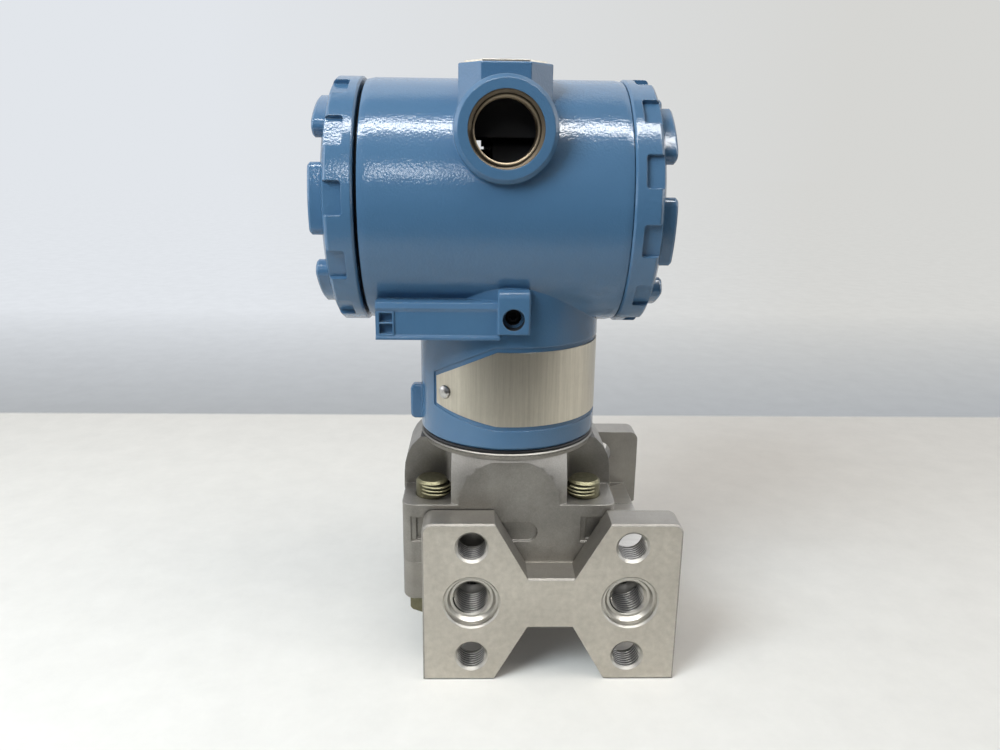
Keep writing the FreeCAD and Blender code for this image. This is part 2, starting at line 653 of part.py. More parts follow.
def nameplate_sheet(inner, outer, grow):
    """The nameplate's outline as a curved sheet, grown all round by a margin."""
    margin = math.degrees(grow / NECK_R)
    z0, z1 = PLATE_Z0 - grow, PLATE_Z1 + grow
    start = PLATE_TIP - margin
    corners = point_trimmer(start, PLATE_SHOULDER - margin * 0.4,
                            (TIP_Z0 - grow * 0.6, z0), (TIP_Z1 + grow * 0.6, z1))
    _, along = neck_direction(PLATE_MIDDLE)
    corners += [t.mirror(V(0, 0, 0), along) for t in list(corners)]
    sheet = around_neck(start, 2 * PLATE_MIDDLE - start, z0, z1, inner, outer)
    return cut(sheet, corners)


def compartments():
    """Hollow of both compartments, less the metal round the module's spigot."""
    tower = rod(TOWER_R, TOWER_TOP - 60, (0, 0, 60), (0, 0, 1))
    left = fuse([
        rod(CHAMBER_R, WALL_LEFT - BARREL_LEFT + 1, (BARREL_LEFT - 1, 0, HOUSING_Z), (1, 0, 0)),
        rod(MOUTH_R, MOUTH_DEPTH + 1, (BARREL_LEFT - 1, 0, HOUSING_Z), (1, 0, 0)),
        rod(SEAT_R, SEAT_DEPTH + 1, (BARREL_LEFT - 1, 0, HOUSING_Z), (1, 0, 0))])
    right = fuse([
        rod(CHAMBER_R, BARREL_RIGHT - WALL_RIGHT + 1, (WALL_RIGHT, 0, HOUSING_Z), (1, 0, 0)),
        rod(MOUTH_R, MOUTH_DEPTH + 1, (BARREL_RIGHT - MOUTH_DEPTH, 0, HOUSING_Z), (1, 0, 0)),
        rod(SEAT_R, SEAT_DEPTH + 1, (BARREL_RIGHT - SEAT_DEPTH, 0, HOUSING_Z), (1, 0, 0))])
    return [left.cut(tower), right.cut(tower)]


def electronics_housing():
    """One painted casting with its barrel, neck, bosses, ledge and both hollows."""
    neck = turned(
        [(0, NECK_BOTTOM), (NECK_R - 0.8, NECK_BOTTOM), (NECK_R, NECK_BOTTOM + 0.8),
         (NECK_R, HOUSING_Z), (0, HOUSING_Z)], (0, 0, 0), (0, 0, 1))
    shape = fuse([barrel(), neck, top_block(), conduit_boss(-1), conduit_boss(1), ledge(),
                  screw_block(), tag_lug()])
    tools = compartments()
    for side in (-1, 1):
        tools.append(turned(
            [(0, -1), (CONDUIT_MOUTH_R + 0.4, -1), (CONDUIT_MOUTH_R, CONDUIT_MOUTH * 0.4),
             (CONDUIT_R, CONDUIT_MOUTH), (CONDUIT_R, CONDUIT_DEPTH), (0, CONDUIT_DEPTH)],
            (CONDUIT_X, side * BOSS_OUT, CONDUIT_Z), (0, -side, 0)))
    bore = COLLAR_R + SPIGOT_GAP
    tools.append(rod(COLLAR_R + 2.0, 1.0, (0, 0, NECK_BOTTOM - 0.4), (0, 0, 1)))
    tools.append(rod(bore, COLLAR_TOP + 0.4 - NECK_BOTTOM + 1, (0, 0, NECK_BOTTOM - 1), (0, 0, 1)))
    tools.append(rod(SPIGOT_R + SPIGOT_GAP, SPIGOT_TOP + 2.6 - COLLAR_TOP, (0, 0, COLLAR_TOP), (0, 0, 1)))
    tools.append(rod(6.2, 14, (16.0 + 2.4, 0, SPIGOT_TOP), (0, 0, 1)))
    tools.append(rod(SET_SCREW_R + SET_SCREW_GAP, 22, (0.3, SCREW_BLOCK_FRONT - 1, SET_SCREW_Z), (0, 1, 0)))
    tools.append(rod(3.5, 5.0, (0.3, SCREW_BLOCK_FRONT - 0.5, SET_SCREW_Z), (0, 1, 0)))
    tools.append(nameplate_sheet(NECK_R - RECESS_DEPTH, NECK_R + 3, RECESS_MARGIN))
    tools += drive_screw_holes()
    for y in (-BUTTON_Y, BUTTON_Y):
        tools.append(rod(BUTTON_R + BUTTON_GAP, BUTTON_WELL + 1, (CONDUIT_X, y, BLOCK_TOP - BUTTON_WELL), (0, 0, 1)))
    for y in (-CERT_SCREW_Y, CERT_SCREW_Y):
        tools.append(rod(CERT_SCREW_R - 0.1, 6, (CONDUIT_X, y, BLOCK_TOP - 5), (0, 0, 1)))
    return cut(shape, tools)


# --- covers ---------------------------------------------------------------------------------
def cover(seam, side, phase):
    """Screwed cover whose rim starts at the seam and points to side -1 (left) or +1 (right)."""
    origin, axis = (seam, 0, HOUSING_Z), (side, 0, 0)
    inner = SKIRT_R - SKIRT_WALL
    shell = turned(
        [(0, RIM - COVER_WALL + 1.5), (inner, RIM - COVER_WALL + 1.5), (inner, -SKIRT),
         (SKIRT_R - 0.8, -SKIRT), (SKIRT_R, -SKIRT + 0.8), (SKIRT_R, 0), (COVER_R - 0.6, 0),
         (COVER_R, 0.6), (COVER_R, RIM - 0.7), (COVER_R - 0.6, RIM), (SHOULDER_R, SHOULDER_T), (0, SHOULDER_T)],
        origin, axis)
    half = math.radians(LUG_ANGLE / 2)
    lug = turned([(LUG_INNER_R, SHOULDER_T - 0.5), (LUG_R, SHOULDER_T - 0.5), (LUG_R, LUG_T),
                  (LUG_INNER_R, LUG_T)], origin, axis)
    reach = COVER_R + 5
    wedge = prism(
        [(0, HOUSING_Z), (-reach * math.cos(half), HOUSING_Z - reach * math.sin(half)),
         (-reach * math.cos(half), HOUSING_Z + reach * math.sin(half))],
        "yz", seam + side * (SHOULDER_T - 1), seam + side * (LUG_T + 1))
    lug = lug.common(wedge).Solids[0]
    lug = lug.makeFillet(LUG_CORNER, straight_edges(lug, (1, 0, 0), lambda c: True))
    tip = seam + side * LUG_T
    lug = lug.makeChamfer(LUG_EDGE, [e for e in lug.Edges if abs(e.CenterOfMass.x - tip) < 1e-6])
    narrow = math.radians(NOTCH_ANGLE / 2)
    width = 2 * COVER_R * math.sin(narrow)
    notch = block((0, RIM + 4), (-COVER_R - 2, -COVER_R * math.cos(narrow) + NOTCH_DEPTH - 0.35),
                  (-width / 2, width / 2))
    notch = notch.makeFillet(NOTCH_CORNER, straight_edges(
        notch, (0, 1, 0), lambda c: c.x < 0.1))
    notch.translate(V(NOTCH_START, 0, 0))
    if side < 0:
        notch = mirrored(notch, (1, 0, 0))
    notch.translate(V(seam, 0, HOUSING_Z))
    spin = (seam, 0, HOUSING_Z), (1, 0, 0)
    lugs = around(lug, LUG_COUNT, *spin, phase=phase)
    notches = around(notch, NOTCH_COUNT, *spin, phase=phase)
    return cut(fuse([shell] + lugs), notches)


def cover_ring(face, side, out):
    """Cover O-ring; out is how far it stands proud of the barrel's end face."""
    centre = face + side * (out - RING_SECTION)
    return o_ring(RING_CENTRE_R, RING_SECTION, (centre, 0, HOUSING_Z), (1, 0, 0))


# --- plates, screws and buttons -------------------------------------------------------------
def drive_screw_angles():
    """Angles round the neck of the two drive screws."""
    first = PLATE_TIP + DRIVE_OFFSET
    return (first, 2 * PLATE_MIDDLE - first)


def drive_screw_foot(angle, radius):
    """Point on a drive screw's axis at a distance from the neck's axis, and its direction."""
    out, _ = neck_direction(angle)
    return out * radius + V(0, 0, (TIP_Z0 + TIP_Z1) / 2), out


def drive_screw_holes():
    """Holes of the drive screws, through the plate and into the neck."""
    return [Part.makeCylinder(DRIVE_SHANK_R + 0.1, 6, *drive_screw_foot(angle, NECK_R - 2.0))
            for angle in drive_screw_angles()]


def nameplate():
    """Thin stainless plate bent round the neck, both ends cut to a blunt point."""
    inner = NECK_R - RECESS_DEPTH
    sheet = nameplate_sheet(inner, inner + PLATE_T, 0.0)
    return cut(sheet, drive_screw_holes())


def nameplate_drive_screws():
    """Round-headed drive screws through the nameplate."""
    screws = []
    for angle in drive_screw_angles():
        base, out = drive_screw_foot(angle, NECK_R - RECESS_DEPTH + PLATE_T + 0.1)
        head = turned([(0, 0), (DRIVE_R, 0), (DRIVE_R * 0.92, DRIVE_HEAD * 0.45),
                       (DRIVE_R * 0.6, DRIVE_HEAD * 0.85), (0, DRIVE_HEAD)], tuple(base), tuple(out))
        shank = Part.makeCylinder(DRIVE_SHANK_R, 1.8, base - out * 1.6, out)
        screws.append(fuse([head, shank]))
    return Part.makeCompound(screws)


def certification_plate():
    """Plate over the two buttons; a round hole at its pivot and an open slot at the far screw."""
    h, y, c = CERT_HALF_X, CERT_HALF_Y, CERT_CHAMFER
    outline = [(-h + c, -y), (h - c, -y), (h, -y + c), (h, y - c), (h - c, y), (-h + c, y), (-h, y - c), (-h, -y + c)]
    z = BLOCK_TOP + CERT_GAP
    plate = prism([(CONDUIT_X + a, b) for a, b in outline], "xy", z, z + CERT_T)
    hole = rod(CERT_SCREW_R + 0.15, 4, (CONDUIT_X, -CERT_SCREW_Y, z - 1), (0, 0, 1))
    far = 2 * CERT_SCREW_Y
    ring = rod(far + CERT_SCREW_R + 0.5, 4, (CONDUIT_X, -CERT_SCREW_Y, z - 1), (0, 0, 1)).cut(
        rod(far - CERT_SCREW_R - 0.5, 4, (CONDUIT_X, -CERT_SCREW_Y, z - 1), (0, 0, 1)))
    sweep = block((CONDUIT_X - CERT_SCREW_R - 0.4, CONDUIT_X + 40), (0, 40), (z - 2, z + 5))
    return cut(plate, [hole, ring.common(sweep)])


def plate_screw(y):
    """Pan-head screw of the certification plate."""
    z = BLOCK_TOP + CERT_GAP + CERT_T + 0.12
    head = turned([(0, 0), (CERT_HEAD_R, 0), (CERT_HEAD_R, CERT_HEAD * 0.5),
                   (CERT_HEAD_R * 0.7, CERT_HEAD), (0, CERT_HEAD)], (CONDUIT_X, y, z), (0, 0, 1))
    shank = rod(CERT_SCREW_R - 0.12, 5.6, (CONDUIT_X, y, z - 5.5), (0, 0, 1))
    slot = block((CONDUIT_X - 4, CONDUIT_X + 4), (y - 0.4, y + 0.4), (z + CERT_HEAD - 0.7, z + CERT_HEAD + 1))
    return fuse([head, shank]).cut(slot)


def button(y):
    """Spring-loaded adjustment button, flush with the block under the plate."""
    top = BLOCK_TOP - 0.2
    return turned([(0, 0), (BUTTON_R, 0), (BUTTON_R, BUTTON_LENGTH - 0.5),
                   (BUTTON_R - 0.5, BUTTON_LENGTH), (0, BUTTON_LENGTH)],
                  (CONDUIT_X, y, top - BUTTON_LENGTH), (0, 0, 1))


def rotation_set_screw():
    """Socket set screw that locks the housing on the module's spigot."""
    y = -SPIGOT_R - 0.5 - SET_SCREW_LENGTH
    body = turned([(0, 0), (SET_SCREW_R - 0.4, 0), (SET_SCREW_R, 0.4), (SET_SCREW_R, SET_SCREW_LENGTH - 1.0),
                   (SET_SCREW_R - 1.0, SET_SCREW_LENGTH), (0, SET_SCREW_LENGTH)],
                  (0.3, y, SET_SCREW_Z), (0, 1, 0))
    socket = hexagon(2.4, 3.0, (0.3, y + 2.6, SET_SCREW_Z), (0, -1, 0))
    return body.cut(socket)


# --- inside the compartments ----------------------------------------------------------------
def terminal_block():
    """Potted block: round base on the wall, lower front with ribs between its terminals."""
    up = (1, 0, 0)
    base = rod(TERMINAL_R, WALL_LEFT - CLEAR - TERMINAL_BASE, (TERMINAL_BASE, 0, HOUSING_Z), up)
    front = rod(TERMINAL_R, TERMINAL_BASE - TERMINAL_FRONT, (TERMINAL_FRONT, 0, HOUSING_Z), up)
    front = front.common(block((TERMINAL_FRONT, TERMINAL_BASE), (-60, 60), (60, TERMINAL_TOP)))
    pitch = TERMINAL_PITCH
    ribs = fuse([
        block((TERMINAL_FRONT - TERMINAL_RIB, TERMINAL_FRONT), (y - 0.9, y + 0.9),
              (TERMINAL_Z - 14.0, TERMINAL_Z + 10.0))
        for y in (-pitch * 1.5, -pitch / 2, pitch / 2, pitch * 1.5)])
    ribs = ribs.common(rod(TERMINAL_R, TERMINAL_RIB, (TERMINAL_FRONT - TERMINAL_RIB, 0, HOUSING_Z), up))
    shape = fuse([base, front, ribs])
    tools = [block((TERMINAL_FRONT - 20, 20), (-60, 60), (60, TOWER_TOP + CLEAR))]
    tools += [rod(TERMINAL_SHANK_R + 0.05, TERMINAL_HOLE, (TERMINAL_FRONT - 1, y, TERMINAL_Z), up)
              for y in (-pitch, 0, pitch)]
    return cut(shape, tools)


def slotted_screw(head_r, head, shank_r, shank, base, axis):
    """Cheese-head screw with a slot; the base point is under the head."""
    body = fuse([rod(head_r, head, base, axis),
                 rod(shank_r, shank, base, tuple(-a for a in axis))])
    x, y, z = base
    slot = block((-0.45, 0.45), (-head_r - 1, head_r + 1), (head - 1.0, head + 1.0))
    slot.rotate(V(0, 0, 0), V(0, 1, 0), 90.0 * axis[0])
    slot.translate(V(x, y, z))
    return body.cut(slot)


def terminal_screws():
    """Three screws of the field terminals."""
    return Part.makeCompound([
        slotted_screw(TERMINAL_SCREW_R, 3.0, TERMINAL_SHANK_R, TERMINAL_HOLE - 2.0,
                      (TERMINAL_FRONT, y, TERMINAL_Z), (-1, 0, 0))
        for y in (-TERMINAL_PITCH, 0, TERMINAL_PITCH)])


def circuit_module():
    """Round electronics assembly: carrier with a raised rim and component blocks."""
    x0 = WALL_RIGHT + CLEAR
    disc = rod(CIRCUIT_R, CIRCUIT_THICK, (x0, 0, HOUSING_Z), (1, 0, 0))
    disc = disc.cut(rod(CIRCUIT_R - 1.6, 4, (x0 + CIRCUIT_THICK - 2.0, 0, HOUSING_Z), (1, 0, 0)))
    keep = block((x0 - 1, x0 + CIRCUIT_THICK + 9), (-60, 60), (TOWER_TOP + CLEAR, HOUSING_Z + 60))
    r, face = CIRCUIT_R, x0 + CIRCUIT_THICK
    parts = [(face, -0.45, 0.45, 0.17, 0.56), (face + 1.5, -0.55, -0.16, -0.45, -0.12),
             (face - 0.5, 0.13, 0.58, -0.48, -0.03)]
    shape = fuse([disc.common(keep)] + [
        block((x0 + 5, front), (y0 * r, y1 * r), (HOUSING_Z + z0 * r, HOUSING_Z + z1 * r))
        for front, y0, y1, z0, z1 in parts])
    holes = [rod(CIRCUIT_SHANK_R + 0.1, CIRCUIT_THICK + 2, (x0 - 1, y, HOUSING_Z), (1, 0, 0))
             for y in (-CIRCUIT_SCREW_Y, CIRCUIT_SCREW_Y)]
    return cut(shape, holes)


def circuit_screws():
    """Two captive screws of the circuit module."""
    x = WALL_RIGHT + CLEAR + CIRCUIT_THICK - 2.0
    return Part.makeCompound([
        slotted_screw(1.9 * CIRCUIT_SHANK_R, 2.6, CIRCUIT_SHANK_R, CIRCUIT_THICK - 2.4,
                      (x, y, HOUSING_Z), (1, 0, 0))
        for y in (-CIRCUIT_SCREW_Y, CIRCUIT_SCREW_Y)])


def ribbon_cable():
    """Flat cable from the circuit module down into the neck."""
    return block((17.6, 18.6), (-4.6, 4.6), (SPIGOT_TOP + 0.8, TOWER_TOP + CLEAR))


def inner_ground_screw():
    """Earth screw with its clamp washer on the face of the terminal block's base."""
    foot = TERMINAL_BASE - 0.1
    washer = rod(4.6, 1.0, (foot, GROUND_Y, GROUND_Z), (-1, 0, 0))
    screw = slotted_screw(3.2, 2.6, 1.6, 0.8, (foot - 0.9, GROUND_Y, GROUND_Z), (-1, 0, 0))
    return fuse([washer, screw])


def build():
    """All sub-parts by name."""
    left_seam = BARREL_LEFT - LEFT_GAP
    right_seam = BARREL_RIGHT + RIGHT_GAP
    return {
        "flange": flange(),
        "process_seal_rings": process_seal_rings(),
        "vent_valve_seats": vent_valve_seats(),
        "vent_stem_left": vent_stem(PORTS_X[0]),
        "vent_stem_right": vent_stem(PORTS_X[1]),
        "sensor_module": sensor_module(),
        "isolator_diaphragms": isolator_diaphragms(),
        "flange_bolts": flange_bolts(),
        "neck_seal_ring": neck_seal_ring(),
        "electronics_housing": electronics_housing(),
        "rotation_set_screw": rotation_set_screw(),
        "nameplate": nameplate(),
        "nameplate_drive_screws": nameplate_drive_screws(),
        "certification_plate": certification_plate(),
        "plate_pivot_screw": plate_screw(-CERT_SCREW_Y),
        "plate_lock_screw": plate_screw(CERT_SCREW_Y),
        "zero_button": button(-BUTTON_Y),
        "span_button": button(BUTTON_Y),
        "terminal_cover": cover(left_seam, -1, LEFT_PHASE),
        "terminal_cover_ring": cover_ring(BARREL_LEFT, -1, 0.95),
        "circuit_cover": cover(right_seam, 1, RIGHT_PHASE),
        "circuit_cover_ring": cover_ring(BARREL_RIGHT, 1, -0.1),
        "terminal_block": terminal_block(),
        "terminal_screws": terminal_screws(),
        "circuit_module": circuit_module(),
        "circuit_screws": circuit_screws(),
        "ribbon_cable": ribbon_cable(),
        "inner_ground_screw": inner_ground_screw(),
    }


def main():
    """Write one STEP file for each sub-part, in the part's own frame."""
    os.makedirs("parts", exist_ok=True)
    origin = V(-FLANGE_SHIFT, FACE_TO_AXIS, 0)
    for name, shape in build().items():
        placed = shape.copy()
        placed.translate(origin)
        placed.exportStep("parts/" + name + ".step")


main()
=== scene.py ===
import json
import logging
import math
from collections.abc import Callable, Iterable
from dataclasses import dataclass
from enum import Enum

import bmesh
import bpy
from mathutils import Matrix, Vector

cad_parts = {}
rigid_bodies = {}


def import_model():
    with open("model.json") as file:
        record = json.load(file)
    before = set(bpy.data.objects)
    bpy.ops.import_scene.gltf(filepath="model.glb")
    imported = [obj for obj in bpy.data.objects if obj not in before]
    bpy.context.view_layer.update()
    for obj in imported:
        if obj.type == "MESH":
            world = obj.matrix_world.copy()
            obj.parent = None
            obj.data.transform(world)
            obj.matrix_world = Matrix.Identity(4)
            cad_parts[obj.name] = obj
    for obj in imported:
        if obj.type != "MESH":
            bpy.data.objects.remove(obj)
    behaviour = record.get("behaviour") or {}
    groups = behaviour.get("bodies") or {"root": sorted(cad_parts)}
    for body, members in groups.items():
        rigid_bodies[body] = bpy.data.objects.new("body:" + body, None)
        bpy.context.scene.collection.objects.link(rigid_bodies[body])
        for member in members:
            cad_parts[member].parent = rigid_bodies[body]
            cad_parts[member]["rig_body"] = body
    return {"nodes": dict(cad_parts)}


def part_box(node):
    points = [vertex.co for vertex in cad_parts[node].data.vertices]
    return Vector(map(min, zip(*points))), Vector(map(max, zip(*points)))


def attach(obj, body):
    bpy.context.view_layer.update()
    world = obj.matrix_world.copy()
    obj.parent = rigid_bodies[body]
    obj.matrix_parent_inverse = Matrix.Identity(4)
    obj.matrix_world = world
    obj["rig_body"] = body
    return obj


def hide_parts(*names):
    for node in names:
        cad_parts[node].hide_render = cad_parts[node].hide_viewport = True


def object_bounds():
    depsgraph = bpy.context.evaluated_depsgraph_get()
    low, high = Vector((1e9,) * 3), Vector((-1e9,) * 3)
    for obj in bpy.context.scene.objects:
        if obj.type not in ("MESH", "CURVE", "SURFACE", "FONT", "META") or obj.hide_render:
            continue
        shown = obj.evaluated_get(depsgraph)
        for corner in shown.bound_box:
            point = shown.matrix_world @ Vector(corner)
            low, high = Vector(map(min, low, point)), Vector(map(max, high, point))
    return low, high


# Looks of a differential pressure transmitter: a painted two-compartment housing on a cast
# stainless sensor module and an H-shaped process flange. Lengths are in metres unless a
# name ends in _mm. X runs to the right seen from the process side, Y into the instrument
# and Z up. The origin is the centre of the process bolt pattern.

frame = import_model()
CAD_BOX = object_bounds()
LOG = logging.getLogger("transmitter")
Triple = tuple[float, float, float]
Span = tuple[float, float]   # a lowest and a highest value
Colour = Triple
Socket = bpy.types.NodeSocket
Tree = bpy.types.NodeTree
Object = bpy.types.Object
Mesh = bpy.types.Mesh
BMesh = bmesh.types.BMesh
Face = bmesh.types.BMFace
Pattern = tuple[object, object, object]  # colour, roughness and height of a surface
MM = 0.001
WALL_FIT = 0.03 * MM         # a vertex this near to a round wall lies on it
MERGE = 1e-6                 # vertices nearer than this become one
CUT_FIT = 1e-7               # tolerance of a cutting plane
SMOOTH_DEGREES = 30.0        # faces that meet at a smaller angle are shaded smooth
THREAD_DEGREES = 35.0
MIDDLE = (0.3, 0.7)          # the part of a noise pattern's range that is used
THREAD_HEIGHT = "thread_height"  # attribute of a ridge: 0 at its root, 1 at its crest


# --- node trees ---
class Graph:
    """A node tree written one node at a time."""

    def __init__(self, tree: Tree) -> None:
        """Start with a tree, less the nodes that it already has."""
        self.tree = tree
        tree.nodes.clear()

    def add(self, kind: str, inputs: dict | None = None, **settings: object) -> bpy.types.Node:
        """Add a node and fill its inputs.

        Args:
            kind: Blender's name of the node type.
            inputs: Input name or number, with a value or the socket to link from.
            settings: Properties of the node itself.

        Returns:
            The new node.
        """
        node = self.tree.nodes.new(kind)
        for name, value in settings.items():
            setattr(node, name, value)
        for key, value in (inputs or {}).items():
            if isinstance(value, Socket):
                self.tree.links.new(value, node.inputs[key])
            else:
                node.inputs[key].default_value = value
        return node

    def calc(self, operation: str, *values: object) -> Socket:
        """Return the result of a Math node with these values or sockets."""
        return self.add("ShaderNodeMath", dict(enumerate(values)), operation=operation).outputs[0]

    def blend(self, factor: object, first: object, second: object) -> Socket:
        """Return a colour mixed from two colours by a factor."""
        inputs = {0: factor, 6: rgba(first), 7: rgba(second)}
        return self.add("ShaderNodeMix", inputs, data_type="RGBA").outputs[2]

    def spread(self, value: object, low: object, high: object, first: float, last: float
               ) -> Socket:
        """Return a value mapped from low..high to first..last, held at the ends."""
        return self.add("ShaderNodeMapRange", {"Value": value, "From Min": low, "From Max": high,
                                               "To Min": first, "To Max": last}).outputs["Result"]

    def ramp(self, value: object, low: object, high: object) -> Socket:
        """Return a value mapped from low..high to 0..1, held at the ends."""
        return self.spread(value, low, high, 0.0, 1.0)

    def noise(self, vector: object, scale: float, detail: float = 3.0, roughness: float = 0.5
              ) -> Socket:
        """Return the factor of a noise pattern on these coordinates."""
        inputs = {"Vector": vector, "Scale": scale, "Detail": detail, "Roughness": roughness}
        return self.add("ShaderNodeTexNoise", inputs).outputs[0]

    def place(self) -> Socket:
        """Return the Object coordinates."""
        return self.add("ShaderNodeTexCoord").outputs["Object"]

    def stretched(self, vector: object, scale: Triple) -> Socket:
        """Return coordinates scaled apart along the three axes."""
        return self.add("ShaderNodeMapping", {"Vector": vector, "Scale": scale}).outputs[0]


def rgba(colour: object) -> object:
    """Give a colour of three numbers its alpha; a socket is returned as it is."""
    return (*colour, 1.0) if isinstance(colour, tuple) and len(colour) == 3 else colour


def number_sockets(tree: Tree, inputs: dict[str, float],
                   outputs: Iterable[str] = ()) -> None:
    """Give a node group its numbers.

    Args:
        tree: The group.
        inputs: Number inputs with their values.
        outputs: Names of the number outputs.
    """
    for label, value in inputs.items():
        tree.interface.new_socket(label, in_out="INPUT", socket_type="NodeSocketFloat"
                                  ).default_value = value
    for label in outputs:
        tree.interface.new_socket(label, in_out="OUTPUT", socket_type="NodeSocketFloat")


def group_tree(name: str, inputs: dict[str, float], outputs: Iterable[str]
               ) -> tuple[Graph, Socket]:
    """Make an empty shader node group.

    Args:
        name: The group's name.
        inputs: Number inputs with their values.
        outputs: Names of the number outputs.

    Returns:
        The graph and the outputs of its input node.
    """
    tree = bpy.data.node_groups.new(name, "ShaderNodeTree")
    number_sockets(tree, inputs, outputs)
    graph = Graph(tree)
    return graph, graph.add("NodeGroupInput").outputs


class Effects:
    """Shared surface effects, each a node group that is built once."""

    def __init__(self) -> None:
        """Build the groups."""
        self.peel = self._peel()
        self.grit = self._grit()
        self.strokes = self._strokes()
        self.handling = self._handling()

    @staticmethod
    def _peel() -> Tree:
        """Orange-peel waves of sprayed paint: height and a slow drift of tone.

        Returns:
            The group.
        """
        graph, given = group_tree("orange_peel", {"Wave": 1400.0, "Drift": 22.0},
                                  ("Height", "Tone"))
        place = graph.place()
        wave = graph.noise(place, given["Wave"], 2.0, 0.45)
        long_wave = graph.noise(place, 260.0, 1.0, 0.4)
        graph.add("NodeGroupOutput", {"Height": graph.calc("MULTIPLY_ADD", long_wave, 0.9, wave),
                                      "Tone": graph.noise(place, given["Drift"], 3.0)})
        return graph.tree

    @staticmethod
    def _grit() -> Tree:
        """Blasted casting skin: fine pits over soft lumps, and blotches of tone.

        Returns:
            The group.
        """
        graph, given = group_tree("blasted_skin", {"Pit": 2100.0, "Lump": 260.0},
                                  ("Height", "Tone"))
        place = graph.place()
        pits = graph.noise(place, given["Pit"], 3.0, 0.65)
        lumps = graph.noise(place, given["Lump"], 3.0, 0.5)
        tone = graph.calc("MULTIPLY_ADD", graph.noise(place, 55.0, 5.0, 0.6), 0.7,
                          graph.calc("MULTIPLY", pits, 0.3))
        graph.add("NodeGroupOutput", {"Height": graph.calc("MULTIPLY_ADD", lumps, 1.6, pits),
                                      "Tone": tone})
        return graph.tree

    @staticmethod
    def _strokes() -> Tree:
        """Parallel brush or tool strokes along one axis of the object.

        Returns:
            The group.
        """
        graph, given = group_tree(
            "tool_strokes", {"Along X": 0.02, "Along Y": 1.0, "Along Z": 1.0, "Fine": 5200.0},
            ("Height", "Tone"))
        scale = graph.add("ShaderNodeCombineXYZ", {0: given["Along X"], 1: given["Along Y"],
                                                   2: given["Along Z"]}).outputs[0]
        place = graph.add("ShaderNodeVectorMath", {0: graph.place(), 1: scale},
                          operation="MULTIPLY").outputs[0]
        fine = graph.noise(place, given["Fine"], 4.0, 0.6)
        broad = graph.noise(place, graph.calc("MULTIPLY", given["Fine"], 0.12), 2.0, 0.5)
        tone = graph.calc("MULTIPLY_ADD", broad, 0.6, graph.calc("MULTIPLY", fine, 0.4))
        graph.add("NodeGroupOutput", {"Height": fine, "Tone": tone})
        return graph.tree

    @staticmethod
    def _handling() -> Tree:
        """Finger marks, scuffs and dust: a mask that is high in a few soft patches.

        Returns:
            The group.
        """
        graph, given = group_tree("handling_marks", {"Patch": 34.0, "Amount": 0.5}, ("Mask",))
        place = graph.place()
        patch = graph.noise(place, given["Patch"], 5.0, 0.62)
        scuff = graph.noise(graph.stretched(place, (1.0, 0.3, 0.6)), 900.0, 3.0, 0.7)
        edge = graph.calc("SUBTRACT", 1.0, given["Amount"])
        mask = graph.ramp(graph.calc("MULTIPLY_ADD", scuff, 0.25, patch), edge,
                          graph.calc("ADD", edge, 0.35))
        graph.add("NodeGroupOutput", {"Mask": mask})
        return graph.tree


EFFECTS = Effects()


# --- finishes ---
class Stroke(Enum):
    """Direction in which a surface was brushed, ground or turned."""

    NONE = (1.0, 1.0, 1.0)
    ROUND_Y = (0.03, 1.0, 0.03)
    ROUND_Z = (0.03, 0.03, 1.0)
    ALONG_X = (0.03, 1.0, 1.0)
    ALONG_Z = (1.0, 1.0, 0.03)


